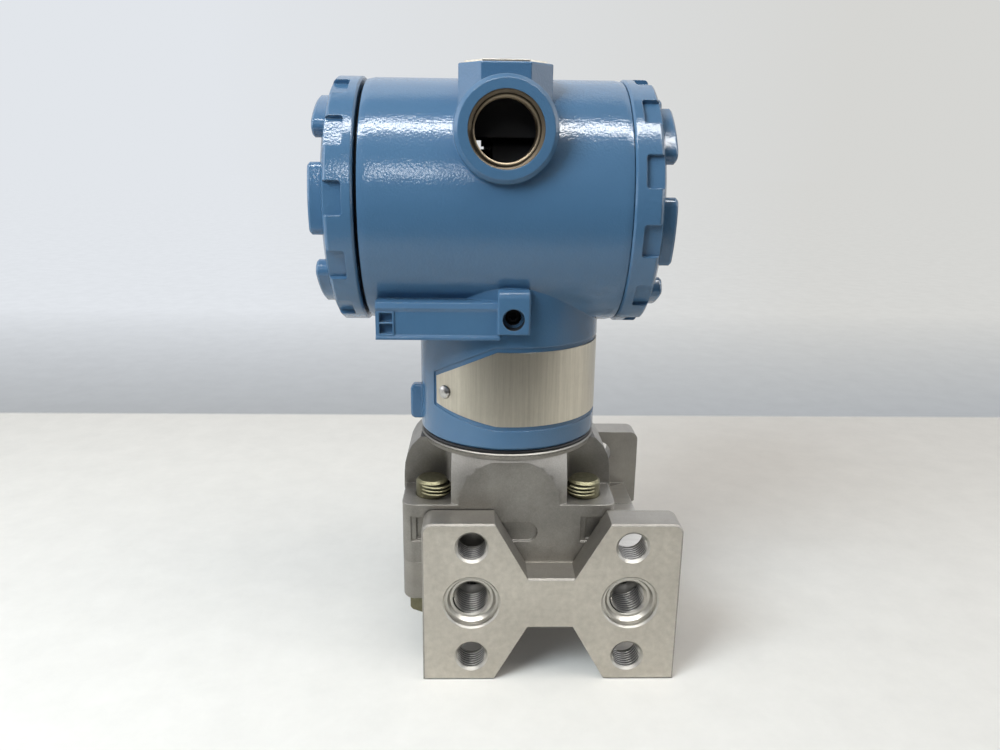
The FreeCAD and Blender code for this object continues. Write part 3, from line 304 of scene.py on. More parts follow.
@dataclass(frozen=True)
class Finish:
    """What every finish has: a name, the record's slot, two tones and an edge rounding."""

    name: str
    slot: str
    light: Colour
    deep: Colour
    edge_mm: float = 0.3
    roughness: float = 0.5
    relief_mm: float = 0.0
    stain: float = 0.5
    metallic: float = 1.0
    ior: float = 1.5
    grime: float = 0.35          # share of the dark tone in the strongest mark on metal
    grime_tone: float = 0.55     # that dark tone, as a share of the deep one
    worn: float = 0.09           # roughness that the strongest mark adds to a coat

    def pattern(self, graph: Graph) -> Pattern:
        """Write the finish's own nodes.

        Args:
            graph: The material's graph.

        Returns:
            Its colour, its roughness and the height of its relief, or None for no relief.
        """
        raise NotImplementedError

    def build(self) -> bpy.types.Material:
        """Build the material.

        Returns:
            The material.
        """
        material = bpy.data.materials.new(self.name)
        material.use_nodes = True
        material.diffuse_color = rgba(self.light)
        graph = Graph(material.node_tree)
        colour, rough, height = self.pattern(graph)
        inputs = {"Base Color": colour, "Metallic": self.metallic, "Roughness": rough,
                  "IOR": self.ior}
        if height is not None:
            inputs["Normal"] = self.relief(graph, height)
        shader = graph.add("ShaderNodeBsdfPrincipled", inputs)
        graph.add("ShaderNodeOutputMaterial", {"Surface": shader.outputs[0]})
        return material

    def relief(self, graph: Graph, height: object) -> Socket:
        """Round the edges and lay the fine relief over them.

        Args:
            graph: The material's graph.
            height: The height of the relief.

        Returns:
            The normals.
        """
        edge = graph.add("ShaderNodeBevel", {"Radius": self.edge_mm * MM}, samples=6).outputs[0]
        return graph.add("ShaderNodeBump", {"Height": height, "Distance": self.relief_mm * MM,
                                            "Strength": 1.0, "Normal": edge}).outputs[0]

    def marks(self, graph: Graph) -> Socket:
        """Return the mask of the handling marks."""
        return graph.add("ShaderNodeGroup", {"Amount": self.stain},
                         node_tree=EFFECTS.handling).outputs["Mask"]

    def soiled(self, graph: Graph, skin: object, marks: object) -> Socket:
        """Darken a colour where the marks are.

        Args:
            graph: The material's graph.
            skin: The clean colour.
            marks: The mask of the marks.

        Returns:
            The colour with its marks.
        """
        dark = tuple(self.grime_tone * value for value in self.deep)
        return graph.blend(graph.calc("MULTIPLY", marks, self.grime), skin, dark)

    def coat(self, graph: Graph, effect: object) -> Pattern:
        """Make an even coat that is dulled by its marks.

        Args:
            graph: The material's graph.
            effect: The outputs of the effect that gives its tone and height.

        Returns:
            Its colour, roughness and height.
        """
        colour = graph.blend(graph.ramp(effect["Tone"], *MIDDLE), self.deep, self.light)
        rough = graph.spread(self.marks(graph), 0.0, 1.0, self.roughness,
                             self.roughness + self.worn)
        return colour, rough, effect["Height"]


@dataclass(frozen=True)
class GlossPaint(Finish):
    """Polyurethane paint, sprayed: glossy, with orange peel and a few handling marks."""

    roughness: float = 0.13
    relief_mm: float = 0.068
    stain: float = 0.42
    metallic: float = 0.0
    ior: float = 1.52

    def pattern(self, graph: Graph) -> Pattern:
        """A coat with orange peel."""
        return self.coat(graph, graph.add("ShaderNodeGroup", node_tree=EFFECTS.peel).outputs)


@dataclass(frozen=True)
class BlastedCasting(Finish):
    """Stainless casting, bead-blasted and passivated."""

    roughness: float = 0.48
    relief_mm: float = 0.05

    def pattern(self, graph: Graph) -> Pattern:
        """Pitted skin, smoother on its light patches.

        Args:
            graph: The material's graph.

        Returns:
            Its colour, roughness and height.
        """
        grit = graph.add("ShaderNodeGroup", node_tree=EFFECTS.grit).outputs
        tone = graph.ramp(grit["Tone"], *MIDDLE)
        skin = self.soiled(graph, graph.blend(tone, self.deep, self.light), self.marks(graph))
        rough = graph.spread(tone, 0.0, 1.0, self.roughness + 0.08, self.roughness - 0.06)
        return skin, rough, grit["Height"]


@dataclass(frozen=True)
class WorkedMetal(Finish):
    """Metal that was ground, brushed or turned, with strokes in one direction."""

    roughness: float = 0.3
    relief_mm: float = 0.008
    stain: float = 0.35
    stroke: Stroke = Stroke.NONE
    fine: float = 5200.0
    grime: float = 0.4
    grime_tone: float = 0.72
    grime_rough: float = 0.08

    def pattern(self, graph: Graph) -> Pattern:
        """Strokes of two tones, duller where the marks are.

        Args:
            graph: The material's graph.

        Returns:
            Its colour, roughness and height.
        """
        x, y, z = self.stroke.value
        strokes = graph.add("ShaderNodeGroup", {"Along X": x, "Along Y": y, "Along Z": z,
                                                "Fine": self.fine},
                            node_tree=EFFECTS.strokes).outputs
        marks = self.marks(graph)
        tone = graph.ramp(strokes["Tone"], 0.32, 0.68)
        metal = self.soiled(graph, graph.blend(tone, self.deep, self.light), marks)
        clean = graph.spread(tone, 0.0, 1.0, self.roughness + 0.06, self.roughness - 0.05)
        rough = graph.calc("ADD", clean, graph.calc("MULTIPLY", marks, self.grime_rough))
        return metal, rough, strokes["Height"]


@dataclass(frozen=True)
class CutThread(Finish):
    """Flanks of a cut thread: bright at the crest, with painted shade that darkens them to
    near-black at the root.
    """

    roughness: float = 0.25
    stain: float = 0.4
    grime: float = 0.3
    grime_tone: float = 1.0
    root_rough: float = 0.3

    def pattern(self, graph: Graph) -> Pattern:
        """Painted shade that follows the height on the flank, darkest at the root; the ridges need
        no relief.

        Args:
            graph: The material's graph.

        Returns:
            Its colour, roughness and height.
        """
        height = graph.add("ShaderNodeAttribute", attribute_name=THREAD_HEIGHT).outputs["Fac"]
        shaded_flank = graph.blend(graph.ramp(height, 0.35, 0.95), self.deep, self.light)
        metal = self.soiled(graph, shaded_flank, self.marks(graph))
        rough = graph.spread(height, 0.0, 1.0, self.roughness + self.root_rough,
                             self.roughness)
        return metal, rough, None


@dataclass(frozen=True)
class Moulding(Finish):
    """Moulded rubber or plastic with a fine skin."""

    relief_mm: float = 0.01
    stain: float = 0.45
    metallic: float = 0.0
    worn: float = 0.12

    def pattern(self, graph: Graph) -> Pattern:
        """A coat with a finely pitted skin."""
        return self.coat(graph, graph.add("ShaderNodeGroup", {"Pit": 1500.0, "Lump": 400.0},
                                          node_tree=EFFECTS.grit).outputs)


KINDS = {  # name, slot, light tone, deep tone, edge rounding, the rest
    "paint": GlossPaint("blue_paint", "paint", (0.075, 0.166, 0.288), (0.068, 0.154, 0.27), 0.55),
    # painted shade: the insides of the compartments, entries and screw hole are near-black to
    # stand in for their shade
    "interior_shade": Moulding("painted_shade_interior", "paint", (0.022, 0.023, 0.025), (0.015, 0.016, 0.018)),
    "bare": WorkedMetal(
        "bare_conduit_metal", "paint", (0.27, 0.225, 0.165), (0.17, 0.14, 0.105), 0.2,
        roughness=0.55, stain=0.6, stroke=Stroke.ROUND_Y),
    "ground": WorkedMetal(
        "ground_flange", "ground_steel", (0.62, 0.58, 0.515), (0.5, 0.47, 0.415), 0.14,
        roughness=0.38, relief_mm=0.014, stain=0.5, fine=3600.0),
    "flange_skin": BlastedCasting(
        "flange_skin", "ground_steel", (0.42, 0.4, 0.36), (0.31, 0.295, 0.27), roughness=0.46),
    "milled": WorkedMetal(
        "milled_gallery", "ground_steel", (0.72, 0.7, 0.65), (0.6, 0.58, 0.54), 0.2, stain=0.25,
        stroke=Stroke.ALONG_X),
    "bored": WorkedMetal(
        "bored_steel", "ground_steel", (0.56, 0.54, 0.49), (0.47, 0.452, 0.412), 0.12,
        roughness=0.4, relief_mm=0.004, stain=0.2, stroke=Stroke.ROUND_Y),
    # painted shade: the threaded walls between the ridges are near-black to stand in for the shade
    # at the thread roots
    "root": WorkedMetal(
        "painted_shade_thread_root", "ground_steel", (0.09, 0.085, 0.078), (0.06, 0.057, 0.052), 0.05,
        roughness=0.4, relief_mm=0.002, stain=0.3, stroke=Stroke.ROUND_Y),
    # the thread flanks below carry painted shade, near-black at their roots
    "crest": CutThread(
        "thread_flanks", "ground_steel", (0.72, 0.7, 0.66), (0.03, 0.028, 0.025), roughness=0.34),
    "zinc_crest": CutThread(
        "zinc_flanks", "zinc", (0.36, 0.34, 0.22), (0.03, 0.028, 0.018), roughness=0.4),
    "bare_crest": CutThread(
        "conduit_flanks", "paint", (0.34, 0.28, 0.2), (0.03, 0.025, 0.018), roughness=0.45),
    "edge": BlastedCasting(
        "broken_edge", "ground_steel", (0.42, 0.4, 0.36), (0.34, 0.325, 0.3), roughness=0.66),
    "cast": BlastedCasting(
        "blasted_module", "cast_steel", (0.41, 0.393, 0.36), (0.25, 0.24, 0.22), 0.55),
    "polished": WorkedMetal(
        "turned_ring", "cast_steel", (0.24, 0.23, 0.21), (0.19, 0.183, 0.168), 0.15,
        roughness=0.44, stroke=Stroke.ROUND_Z),
    "turned": WorkedMetal(
        "turned_stainless", "stainless", (0.55, 0.54, 0.52), (0.47, 0.46, 0.44), 0.15,
        roughness=0.32, relief_mm=0.003, stain=0.2, stroke=Stroke.ROUND_Y),
    "plate": WorkedMetal(
        "brushed_plate", "plate_steel", (0.62, 0.58, 0.49), (0.49, 0.455, 0.38), 0.22,
        roughness=0.34, stain=0.45, stroke=Stroke.ALONG_Z, fine=9000.0),
    "zinc": WorkedMetal(
        "yellow_zinc", "zinc", (0.22, 0.207, 0.135), (0.145, 0.137, 0.085), 0.12, roughness=0.42,
        relief_mm=0.02, stain=0.55),
    "rubber": Moulding(
        "seal_rubber", "elastomer", (0.008, 0.008, 0.01), (0.005, 0.005, 0.006), 0.1),
    "graphite": Moulding(
        "filled_seal", "graphite_ptfe", (0.68, 0.66, 0.62), (0.55, 0.54, 0.5), 0.1),
    "black": Moulding(
        "black_moulding", "black_plastic", (0.022, 0.022, 0.025), (0.014, 0.014, 0.016), 0.25),
    "grey": Moulding(
        "grey_moulding", "grey_plastic", (0.27, 0.28, 0.29), (0.21, 0.22, 0.23), 0.25),
    "plated": WorkedMetal(
        "plated_brass", "brass_plated", (0.7, 0.66, 0.56), (0.56, 0.52, 0.43), 0.12,
        roughness=0.25),
}


class Finishes:
    """Every finish of the instrument, built once."""

    def __init__(self) -> None:
        """Build the materials, and note the record's slot of each."""
        self.materials = {key: kind.build() for key, kind in KINDS.items()}
        self.slots = {key: kind.slot for key, kind in KINDS.items()}


FINISHES = Finishes()


# --- making pieces ---
Rule = Callable[[Face], bool]


def show(thing: Object) -> None:
    """Put an object into the scene."""
    bpy.context.scene.collection.objects.link(thing)


def shade(mesh: Mesh, degrees: float) -> None:
    """Shade a mesh smooth, with sharp edges where its faces turn by more than an angle.

    Args:
        mesh: The mesh.
        degrees: The largest angle that stays smooth.
    """
    work = bmesh.new()
    work.from_mesh(mesh)
    limit = math.radians(degrees)
    for face in work.faces:
        face.smooth = True
    for edge in work.edges:
        edge.smooth = len(edge.link_faces) == 2 and edge.calc_face_angle(0.0) < limit
    work.to_mesh(mesh)
    work.free()


def flatten(piece: Object) -> None:
    """Replace a piece's mesh by the result of its modifiers, and remove them.

    Args:
        piece: The piece.
    """
    bpy.context.view_layer.update()
    result = bpy.data.meshes.new_from_object(
        piece.evaluated_get(bpy.context.evaluated_depsgraph_get()))
    piece.modifiers.clear()
    piece.data = result


def dress(node: str, finish: str, rules: dict[str, Rule] | None = None,
          edit: Callable[[BMesh], None] | None = None) -> Object:
    """Make the finished piece that stands for a CAD node.

    Args:
        node: The CAD node.
        finish: Its main finish.
        rules: Other finishes, each with the test that picks its faces; the first one that
            fits counts.
        edit: Changes to the merged mesh, made first.

    Returns:
        The new piece, riding on the node's body.
    """
    source = frame["nodes"][node]
    piece = bpy.data.objects.new(node + "_finished", source.data.copy())
    show(piece)
    rules = rules or {}
    piece.data.materials.clear()
    for key in (finish, *rules):
        piece.data.materials.append(FINISHES.materials[key])
    work = bmesh.new()
    work.from_mesh(piece.data)
    bmesh.ops.remove_doubles(work, verts=work.verts, dist=MERGE)
    if edit:
        edit(work)
    work.normal_update()
    for face in work.faces:
        face.material_index = next(
            (place for place, test in enumerate(rules.values(), 1) if test(face)), 0)
    work.to_mesh(piece.data)
    work.free()
    shade(piece.data, SMOOTH_DEGREES)
    piece.modifiers.new("weighted", "WEIGHTED_NORMAL").keep_sharp = True
    flatten(piece)
    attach(piece, source["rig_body"])
    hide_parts(node)
    return piece


def new_piece(name: str, mesh: Mesh, body: str) -> Object:
    """Add a piece that has no CAD node of its own.

    Args:
        name: The piece's name.
        mesh: Its mesh, in place.
        body: The body it rides on.

    Returns:
        The piece.
    """
    piece = bpy.data.objects.new(name, mesh)
    show(piece)
    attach(piece, body)
    LOG.info("%s added on %s", name, body)
    return piece


@dataclass(frozen=True)
class Axis:
    """Line that a hole, bolt or compartment runs along."""

    start: Vector
    way: Vector

    def at(self, along: float) -> Vector:
        """Return the point at a distance from the start."""
        return self.start + self.way * along

    def along(self, point: Vector) -> float:
        """Return a point's distance along the line."""
        return (point - self.start).dot(self.way)

    def out(self, point: Vector) -> Vector:
        """Return the way straight out from the line to a point."""
        away = point - self.start
        return away - self.way * away.dot(self.way)


def beside(face: Face, axes: Iterable[Axis], reach: Span, span: Span = (-1.0, 1.0)) -> bool:
    """Tell whether a face lies round one of several axes.

    Args:
        face: The face.
        axes: The axes.
        reach: Least and greatest distance of its centre from the axis.
        span: Least and greatest distance along the axis.

    Returns:
        True if it does.
    """
    centre = face.calc_center_median()
    return any(reach[0] <= axis.out(centre).length < reach[1]
               and span[0] < axis.along(centre) <= span[1] for axis in axes)


def ring_cut(work: BMesh, axis: Axis, radius: float, along: float) -> None:
    """Cut a loop of edges round a round wall.

    Args:
        work: The mesh.
        axis: The wall's axis.
        radius: Its radius.
        along: Distance of the loop along the axis.
    """
    faces = [face for face in work.faces
             if all(abs(axis.out(corner.co).length - radius) < WALL_FIT
                    for corner in face.verts)]
    edges = {edge for face in faces for edge in face.edges}
    corners = {vertex for face in faces for vertex in face.verts}
    bmesh.ops.bisect_plane(work, geom=[*corners, *edges, *faces], plane_co=axis.at(along),
                           plane_no=axis.way, dist=CUT_FIT)


def open_wall(work: BMesh, axis: Axis, radius: float, wider: float, span: Span
              ) -> None:
    """Move a round wall from one radius to another.

    Args:
        work: The mesh.
        axis: The wall's axis.
        radius: Its radius now.
        wider: The radius it gets.
        span: Least and greatest distance along the axis of what moves.
    """
    for vertex in work.verts:
        along, out = axis.along(vertex.co), axis.out(vertex.co)
        if abs(out.length - radius) < WALL_FIT and span[0] < along < span[1]:
            vertex.co = axis.at(along) + out.normalized() * wider


class Thread:
    """Helical ridges, made by one geometry tree with a place and sizes for each thread."""

    INPUTS = {"Radius": 0.005, "Pitch": 0.0012, "Turns": 8.0, "Depth": 0.0005}
    STEPS = 48                   # points in one turn
    ROOT_SHARE = 0.47            # half the ridge's width at its root, in pitches
    CREST_SHARE = 0.13

    def __init__(self) -> None:
        """Build the tree."""
        tree = bpy.data.node_groups.new("thread_ridge", "GeometryNodeTree")
        number_sockets(tree, self.INPUTS)
        tree.interface.new_socket("Finish", in_out="INPUT", socket_type="NodeSocketMaterial")
        tree.interface.new_socket("Geometry", in_out="OUTPUT", socket_type="NodeSocketGeometry")
        graph = Graph(tree)
        given = graph.add("NodeGroupInput").outputs
        path = graph.add("GeometryNodeCurveSpiral", {
            "Resolution": self.STEPS, "Rotations": given["Turns"], "Start Radius": given["Radius"],
            "End Radius": given["Radius"],
            "Height": graph.calc("MULTIPLY", given["Pitch"], given["Turns"])})
        upright = graph.add("GeometryNodeSetCurveNormal", {"Curve": path.outputs[0]}, mode="Z_UP")
        root, crest = (graph.calc("MULTIPLY", given["Pitch"], share)
                       for share in (self.ROOT_SHARE, self.CREST_SHARE))
        rise = graph.calc("MULTIPLY", given["Depth"], -1.0)
        corners = ((0.0, root, -1.0), (rise, crest, -1.0), (rise, crest, 1.0), (0.0, root, 1.0))
        points = [graph.add("ShaderNodeCombineXYZ", {
            0: out, 1: graph.calc("MULTIPLY", up, sign)}).outputs[0] for out, up, sign in corners]
        form = graph.add("GeometryNodeCurvePrimitiveQuadrilateral", {
            f"Point {number}": point for number, point in enumerate(points, 1)}, mode="POINTS")
        ridge = graph.add("GeometryNodeCurveToMesh", {
            "Curve": upright.outputs[0], "Profile Curve": form.outputs[0], "Fill Caps": True})
        spot = graph.add("GeometryNodeInputPosition").outputs[0]
        flat = graph.add("ShaderNodeVectorMath", {0: spot, 1: (1.0, 1.0, 0.0)},
                         operation="MULTIPLY")
        reach = graph.add("ShaderNodeVectorMath", {0: flat.outputs[0]},
                          operation="LENGTH").outputs["Value"]
        rise_here = graph.calc("SUBTRACT", reach, given["Radius"])
        height = graph.calc("DIVIDE", rise_here, given["Depth"])
        marked = graph.add("GeometryNodeStoreNamedAttribute", {
            "Geometry": ridge.outputs[0], "Name": THREAD_HEIGHT, "Value": height})
        dressed = graph.add("GeometryNodeSetMaterial", {"Geometry": marked.outputs[0],
                                                        "Material": given["Finish"]})
        graph.add("NodeGroupOutput", {0: dressed.outputs[0]})
        self.tree = tree

    def cut(self, axis: Axis, start: float, finish: str, **sizes: float) -> Mesh:
        """Make one thread.

        Args:
            axis: The line it runs along.
            start: Where its first turn begins on that line.
            finish: Its finish.
            sizes: Radius, pitch, turns and depth, named as the tree's inputs in small letters.

        Returns:
            The ridge as a mesh in place.
        """
        carrier = bpy.data.objects.new("thread_carrier", bpy.data.meshes.new("thread_carrier"))
        show(carrier)
        modifier = carrier.modifiers.new("thread", "NODES")
        modifier.node_group = self.tree
        keys = {item.name: item.identifier for item in self.tree.interface.items_tree
                if item.in_out == "INPUT"}
        for name, value in sizes.items():
            modifier[keys[name.capitalize()]] = float(value)
        modifier[keys["Finish"]] = FINISHES.materials[finish]
        flatten(carrier)
        mesh = carrier.data
        turn = axis.way.to_track_quat("Z", "Y").to_matrix().to_4x4()
        mesh.transform(Matrix.Translation(axis.at(start)) @ turn)
        bpy.data.objects.remove(carrier)
        shade(mesh, THREAD_DEGREES)
        return mesh

    def row(self, axes: Iterable[Axis], start: float, finish: str, **sizes: float
            ) -> list[Mesh]:
        """Make the same thread on several axes."""
        return [self.cut(axis, start, finish, **sizes) for axis in axes]


THREAD = Thread()


def joined(name: str, meshes: list[Mesh], body: str, finish: str) -> Object:
    """Join meshes of one finish into one piece.

    Args:
        name: The piece's name.
        meshes: The meshes, in place.
        body: The body it rides on.
        finish: Its finish.

    Returns:
        The piece.
    """
    work = bmesh.new()
    for mesh in meshes:
        work.from_mesh(mesh)
    bmesh.ops.recalc_face_normals(work, faces=work.faces)
    whole = bpy.data.meshes.new(name)
    work.to_mesh(whole)
    work.free()
    whole.materials.append(FINISHES.materials[finish])
    return new_piece(name, whole, body)


# --- the instrument ---
ALONG = Vector((1.0, 0.0, 0.0))
INTO = Vector((0.0, 1.0, 0.0))
UP = Vector((0.0, 0.0, 1.0))


@dataclass
class ProcessFlange:
    """H-shaped flange with its ports, tapped holes, bolts, seals and vent valves."""

    port_x: float = 27.0 * MM
    port_minor: float = 5.7 * MM
    port_major: float = 6.42 * MM
    port_start: float = 4.2 * MM
    port_length: float = 12.1 * MM
    port_pitch: float = 1.411 * MM
    port_turns: float = 8.4
    port_reach: float = 9.95 * MM
    port_end: float = 21.0 * MM
    port_lip: float = 0.45 * MM
    tap_z: float = 20.65 * MM
    tap_minor: float = 4.95 * MM
    tap_major: float = 5.52 * MM
    tap_pitch: float = 1.27 * MM
    tap_turns: float = 7.2
    tap_reach: float = 5.9 * MM
    tap_lip: float = 1.0 * MM
    tap_end: float = 11.15 * MM
    slope: float = 0.1 * MM      # from the lip down to the thread's root
    run_out: float = 0.3 * MM    # of a thread past the end of its wall
    skin: float = 0.05 * MM      # faces nearer than this to the front belong to it
    wall_slope: float = 0.3      # the walls' normals lean less than this along the axis
    root_fit: Span = (-0.2 * MM, 0.1 * MM)  # centres of the walls' faces, from the root
    plate: float = 11.2 * MM
    ground_depth: float = 0.7 * MM
    edge_depth: float = 0.95 * MM
    gallery_top: float = 12.0 * MM
    gallery_end: float = 75.0 * MM
    bolt_inset: Span = (9.18 * MM, 7.95 * MM)
    bolt_major: float = 5.55 * MM
    bolt_minor: float = 4.9 * MM
    bolt_pitch: float = 1.27 * MM
    bolt_turns: float = 2.9
    bolt_top: float = 36.8 * MM
    bolt_seat: float = 31.4 * MM
    bolt_start: float = 31.6 * MM

    def ports(self) -> list[Axis]:
        """Return the axes of the two process ports."""
        return [Axis(Vector((side * self.port_x, 0.0, 0.0)), INTO) for side in (-1, 1)]

    def taps(self) -> list[Axis]:
        """Return the axes of the four tapped holes."""
        return [Axis(port.start + UP * (side * self.tap_z), INTO)
                for port in self.ports() for side in (-1, 1)]

    def bolt_axes(self) -> list[Axis]:
        """Find the four flange bolts.

        Returns:
            Their axes, upwards.
        """
        low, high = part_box("flange_bolts")
        right, back = self.bolt_inset
        return [Axis(Vector((x, y, 0.0)), UP) for x in (low.x + right, high.x - right)
                for y in (low.y + back, high.y - back)]

    def open_threads(self, work: BMesh) -> None:
        """Widen the threaded walls to the roots of their threads, short of a lip at the mouth.

        Args:
            work: The flange's mesh.
        """
        for tap in self.taps():
            for along in (self.tap_lip - self.slope, self.tap_lip, self.plate - self.tap_lip):
                ring_cut(work, tap, self.tap_minor, along)
            open_wall(work, tap, self.tap_minor, self.tap_major,
                      (self.tap_lip - self.skin, self.plate - self.tap_lip + self.skin))
        lip = self.port_start + self.port_lip
        for port in self.ports():
            for along in (lip - self.slope, lip):
                ring_cut(work, port, self.port_minor, along)
            open_wall(work, port, self.port_minor, self.port_major,
                      (lip - self.skin, self.port_start + self.port_length + self.slope))

    def in_hole(self, face: Face) -> bool:
        """Tell whether a face is inside a port or a tapped hole."""
        return (beside(face, self.ports(), (0.0, self.port_reach), (self.skin, self.port_end))
                or beside(face, self.taps(), (0.0, self.tap_reach), (self.skin, self.tap_end)))

    def is_threaded(self, face: Face) -> bool:
        """Tell whether a face is a threaded wall of a port or a tapped hole.

        Args:
            face: The face.

        Returns:
            True if it is.
        """
        if abs(face.normal.y) >= self.wall_slope:
            return False
        low, high = self.root_fit
        port_end = self.port_start + self.port_length
        return (beside(face, self.ports(), (self.port_major + low, self.port_major + high),
                       (self.port_start, port_end))
                or beside(face, self.taps(), (self.tap_major + low, self.tap_major + high),
                          (self.skin, self.plate)))

    def is_ground(self, face: Face) -> bool:
        """Tell whether a face belongs to the ground front of the plate."""
        return face.calc_center_median().y < self.ground_depth and self.faces_front(face)

    @staticmethod
    def faces_front(face: Face) -> bool:
        """Tell whether a face looks straight to the process side."""
        return face.normal.y < -0.97

    def is_edge(self, face: Face) -> bool:
        """Tell whether a face is on the broken edge round the ground front."""
        near_front = face.calc_center_median().y < self.edge_depth
        return near_front and not self.faces_front(face) and not self.in_hole(face)

    def is_milled(self, face: Face) -> bool:
        """Tell whether a face is on the milled top that the module is bolted to.

        Args:
            face: The face.

        Returns:
            True if it is.
        """
        centre = face.calc_center_median()
        return (face.normal.z > 0.95 and centre.z < self.gallery_top
                and self.plate < centre.y < self.gallery_end)

    def slim_bolt_ends(self, work: BMesh) -> None:
        """Take the bolts' free ends down to the roots of their threads.

        Args:
            work: The bolts' mesh.
        """
        for height in (self.bolt_seat - self.run_out, self.bolt_seat):
            bmesh.ops.bisect_plane(work, geom=work.verts[:] + work.edges[:] + work.faces[:],
                                   plane_co=(0.0, 0.0, height), plane_no=UP, dist=CUT_FIT)
        for axis in self.bolt_axes():
            open_wall(work, axis, self.bolt_major, self.bolt_minor,
                      (self.bolt_seat - self.skin, self.bolt_top))

    def build(self) -> None:
        """Build the flange, its threads, bolts, seals and vents."""
        # the threaded walls get the near-black painted shade of the thread roots
        dress("flange", "flange_skin",
              {"root": self.is_threaded, "edge": self.is_edge, "bored": self.in_hole,
               "ground": self.is_ground, "milled": self.is_milled}, edit=self.open_threads)
        ridges = THREAD.row(self.taps(), self.tap_lip, "crest", radius=self.tap_major,
                            pitch=self.tap_pitch, turns=self.tap_turns,
                            depth=self.tap_minor - self.tap_major)
        ridges += THREAD.row(self.ports(), self.port_start - self.run_out, "crest",
                             radius=self.port_major, pitch=self.port_pitch,
                             turns=self.port_turns, depth=self.port_minor - self.port_major)
        joined("flange_threads", ridges, "base", "crest")
        dress("flange_bolts", "zinc", edit=self.slim_bolt_ends)
        ridges = THREAD.row(self.bolt_axes(), self.bolt_start, "zinc_crest",
                            radius=self.bolt_minor, pitch=self.bolt_pitch,
                            turns=self.bolt_turns, depth=self.bolt_major - self.bolt_minor)
        joined("bolt_threads", ridges, "base", "zinc_crest")
        dress("process_seal_rings", "graphite")
        dress("vent_valve_seats", "turned")
        for side in ("left", "right"):
            dress(f"vent_stem_{side}", "turned")


@dataclass
class SensorModule:
    """Cast sensor module with its polished top ring, diaphragms and neck seal."""

    ring_low: float = 48.6 * MM

    def is_turned(self, face: Face) -> bool:
        """Tell whether a face belongs to the turned ring and collar at the top."""
        return face.calc_center_median().z > self.ring_low

    def build(self) -> None:
        """Build the module."""
        dress("sensor_module", "cast", {"polished": self.is_turned})
        dress("isolator_diaphragms", "turned")
        dress("neck_seal_ring", "rubber")


@dataclass
class ElectronicsHousing:
    """Painted housing with bare conduit threads and its locking screw."""

    conduit_x: float = -17.3 * MM
    conduit_z: float = 153.8 * MM
    conduit_faces: Span = (-0.2 * MM, 85.8 * MM)
    minor: float = 9.4 * MM
    major: float = 10.25 * MM
    mouth: float = 11.45 * MM
    depth: float = 15.7 * MM
    pitch: float = 1.814 * MM
    turns: float = 7.6
    thread_start: float = 1.2 * MM
    wall_start: float = 1.0 * MM
    seen_depth: float = 40.0 * MM
    skin: float = 0.02 * MM
    axis_y: float = 42.8 * MM
    axis_z: float = 130.8 * MM
    chamber: float = 37.0 * MM
    screw_x: float = -14.0 * MM
    screw_z: float = 96.4 * MM
    screw_hole: float = 3.6 * MM
    screw_depth: float = 30.0 * MM

    def conduits(self) -> list[Axis]:
        """Return the axes of the two conduits, inwards from their mouths."""
        return [Axis(Vector((self.conduit_x, mouth, self.conduit_z)), way)
                for mouth, way in zip(self.conduit_faces, (INTO, -INTO))]

    def open_threads(self, work: BMesh) -> None:
        """Widen the conduits' walls to the roots of their threads.

        Args:
            work: The housing's mesh.
        """
        for conduit in self.conduits():
            open_wall(work, conduit, self.minor, self.major,
                      (self.wall_start, self.depth - 0.4 * MM))

    def is_bare(self, face: Face) -> bool:
        """Tell whether a face is on a conduit's wall, where the thread is left unpainted."""
        return beside(face, self.conduits(), (self.minor - 0.1 * MM, self.mouth),
                      (self.skin, self.depth - 0.5 * MM))

    def is_in_painted_shade(self, face: Face) -> bool:
        """Tell whether a face is inside a compartment, entry or screw hole, where near-black
        painted shade goes.

        Args:
            face: The face.

        Returns:
            True if it is.
        """
        barrel = Axis(Vector((0.0, self.axis_y, self.axis_z)), ALONG)
        screw = Axis(Vector((self.screw_x, 0.0, self.screw_z)), INTO)
        in_conduit = beside(face, self.conduits(), (0.0, self.minor + 1.2 * MM),
                            (self.skin, self.seen_depth))
        in_screw_hole = abs(face.normal.y) < 0.9 and beside(
            face, [screw], (0.0, self.screw_hole), (-self.screw_depth, self.screw_depth))
        return beside(face, [barrel], (0.0, self.chamber)) or in_conduit or in_screw_hole

    def build(self) -> None:
        """Build the housing, the conduit threads and the set screw."""
        # the insides get near-black painted shade; the conduits' walls stay bare metal
        dress("electronics_housing", "paint", {"bare": self.is_bare, "interior_shade": self.is_in_painted_shade},
              edit=self.open_threads)
        ridges = THREAD.row(self.conduits(), self.thread_start, "bare_crest",
                            radius=self.major, pitch=self.pitch, turns=self.turns,
                            depth=self.minor - self.major)
        joined("conduit_threads", ridges, "housing", "bare_crest")
        dress("rotation_set_screw", "black")


class Fittings:
    """Pieces that need no more than a finish of their own."""

    PIECES: dict[str, str] = {}

    def build(self) -> None:
        """Build the pieces in order."""
        for node, finish in self.PIECES.items():
            dress(node, finish)


class Covers(Fittings):
    """Screwed covers of the two compartments, with their O-rings."""

    PIECES = {"terminal_cover": "paint", "terminal_cover_ring": "rubber",
              "circuit_cover": "paint", "circuit_cover_ring": "rubber"}


class Plates(Fittings):
    """Nameplate and certification plate with their screws, and the buttons below."""

    PIECES = {"nameplate": "plate", "nameplate_drive_screws": "turned",
              "certification_plate": "plate", "plate_pivot_screw": "turned",
              "plate_lock_screw": "turned", "zero_button": "black", "span_button": "black"}


class Interior(Fittings):
    """Terminal block, circuit module and their screws."""

    PIECES = {"terminal_block": "black", "terminal_screws": "plated", "circuit_module": "grey",
              "circuit_screws": "turned", "ribbon_cable": "grey",
              "inner_ground_screw": "plated"}


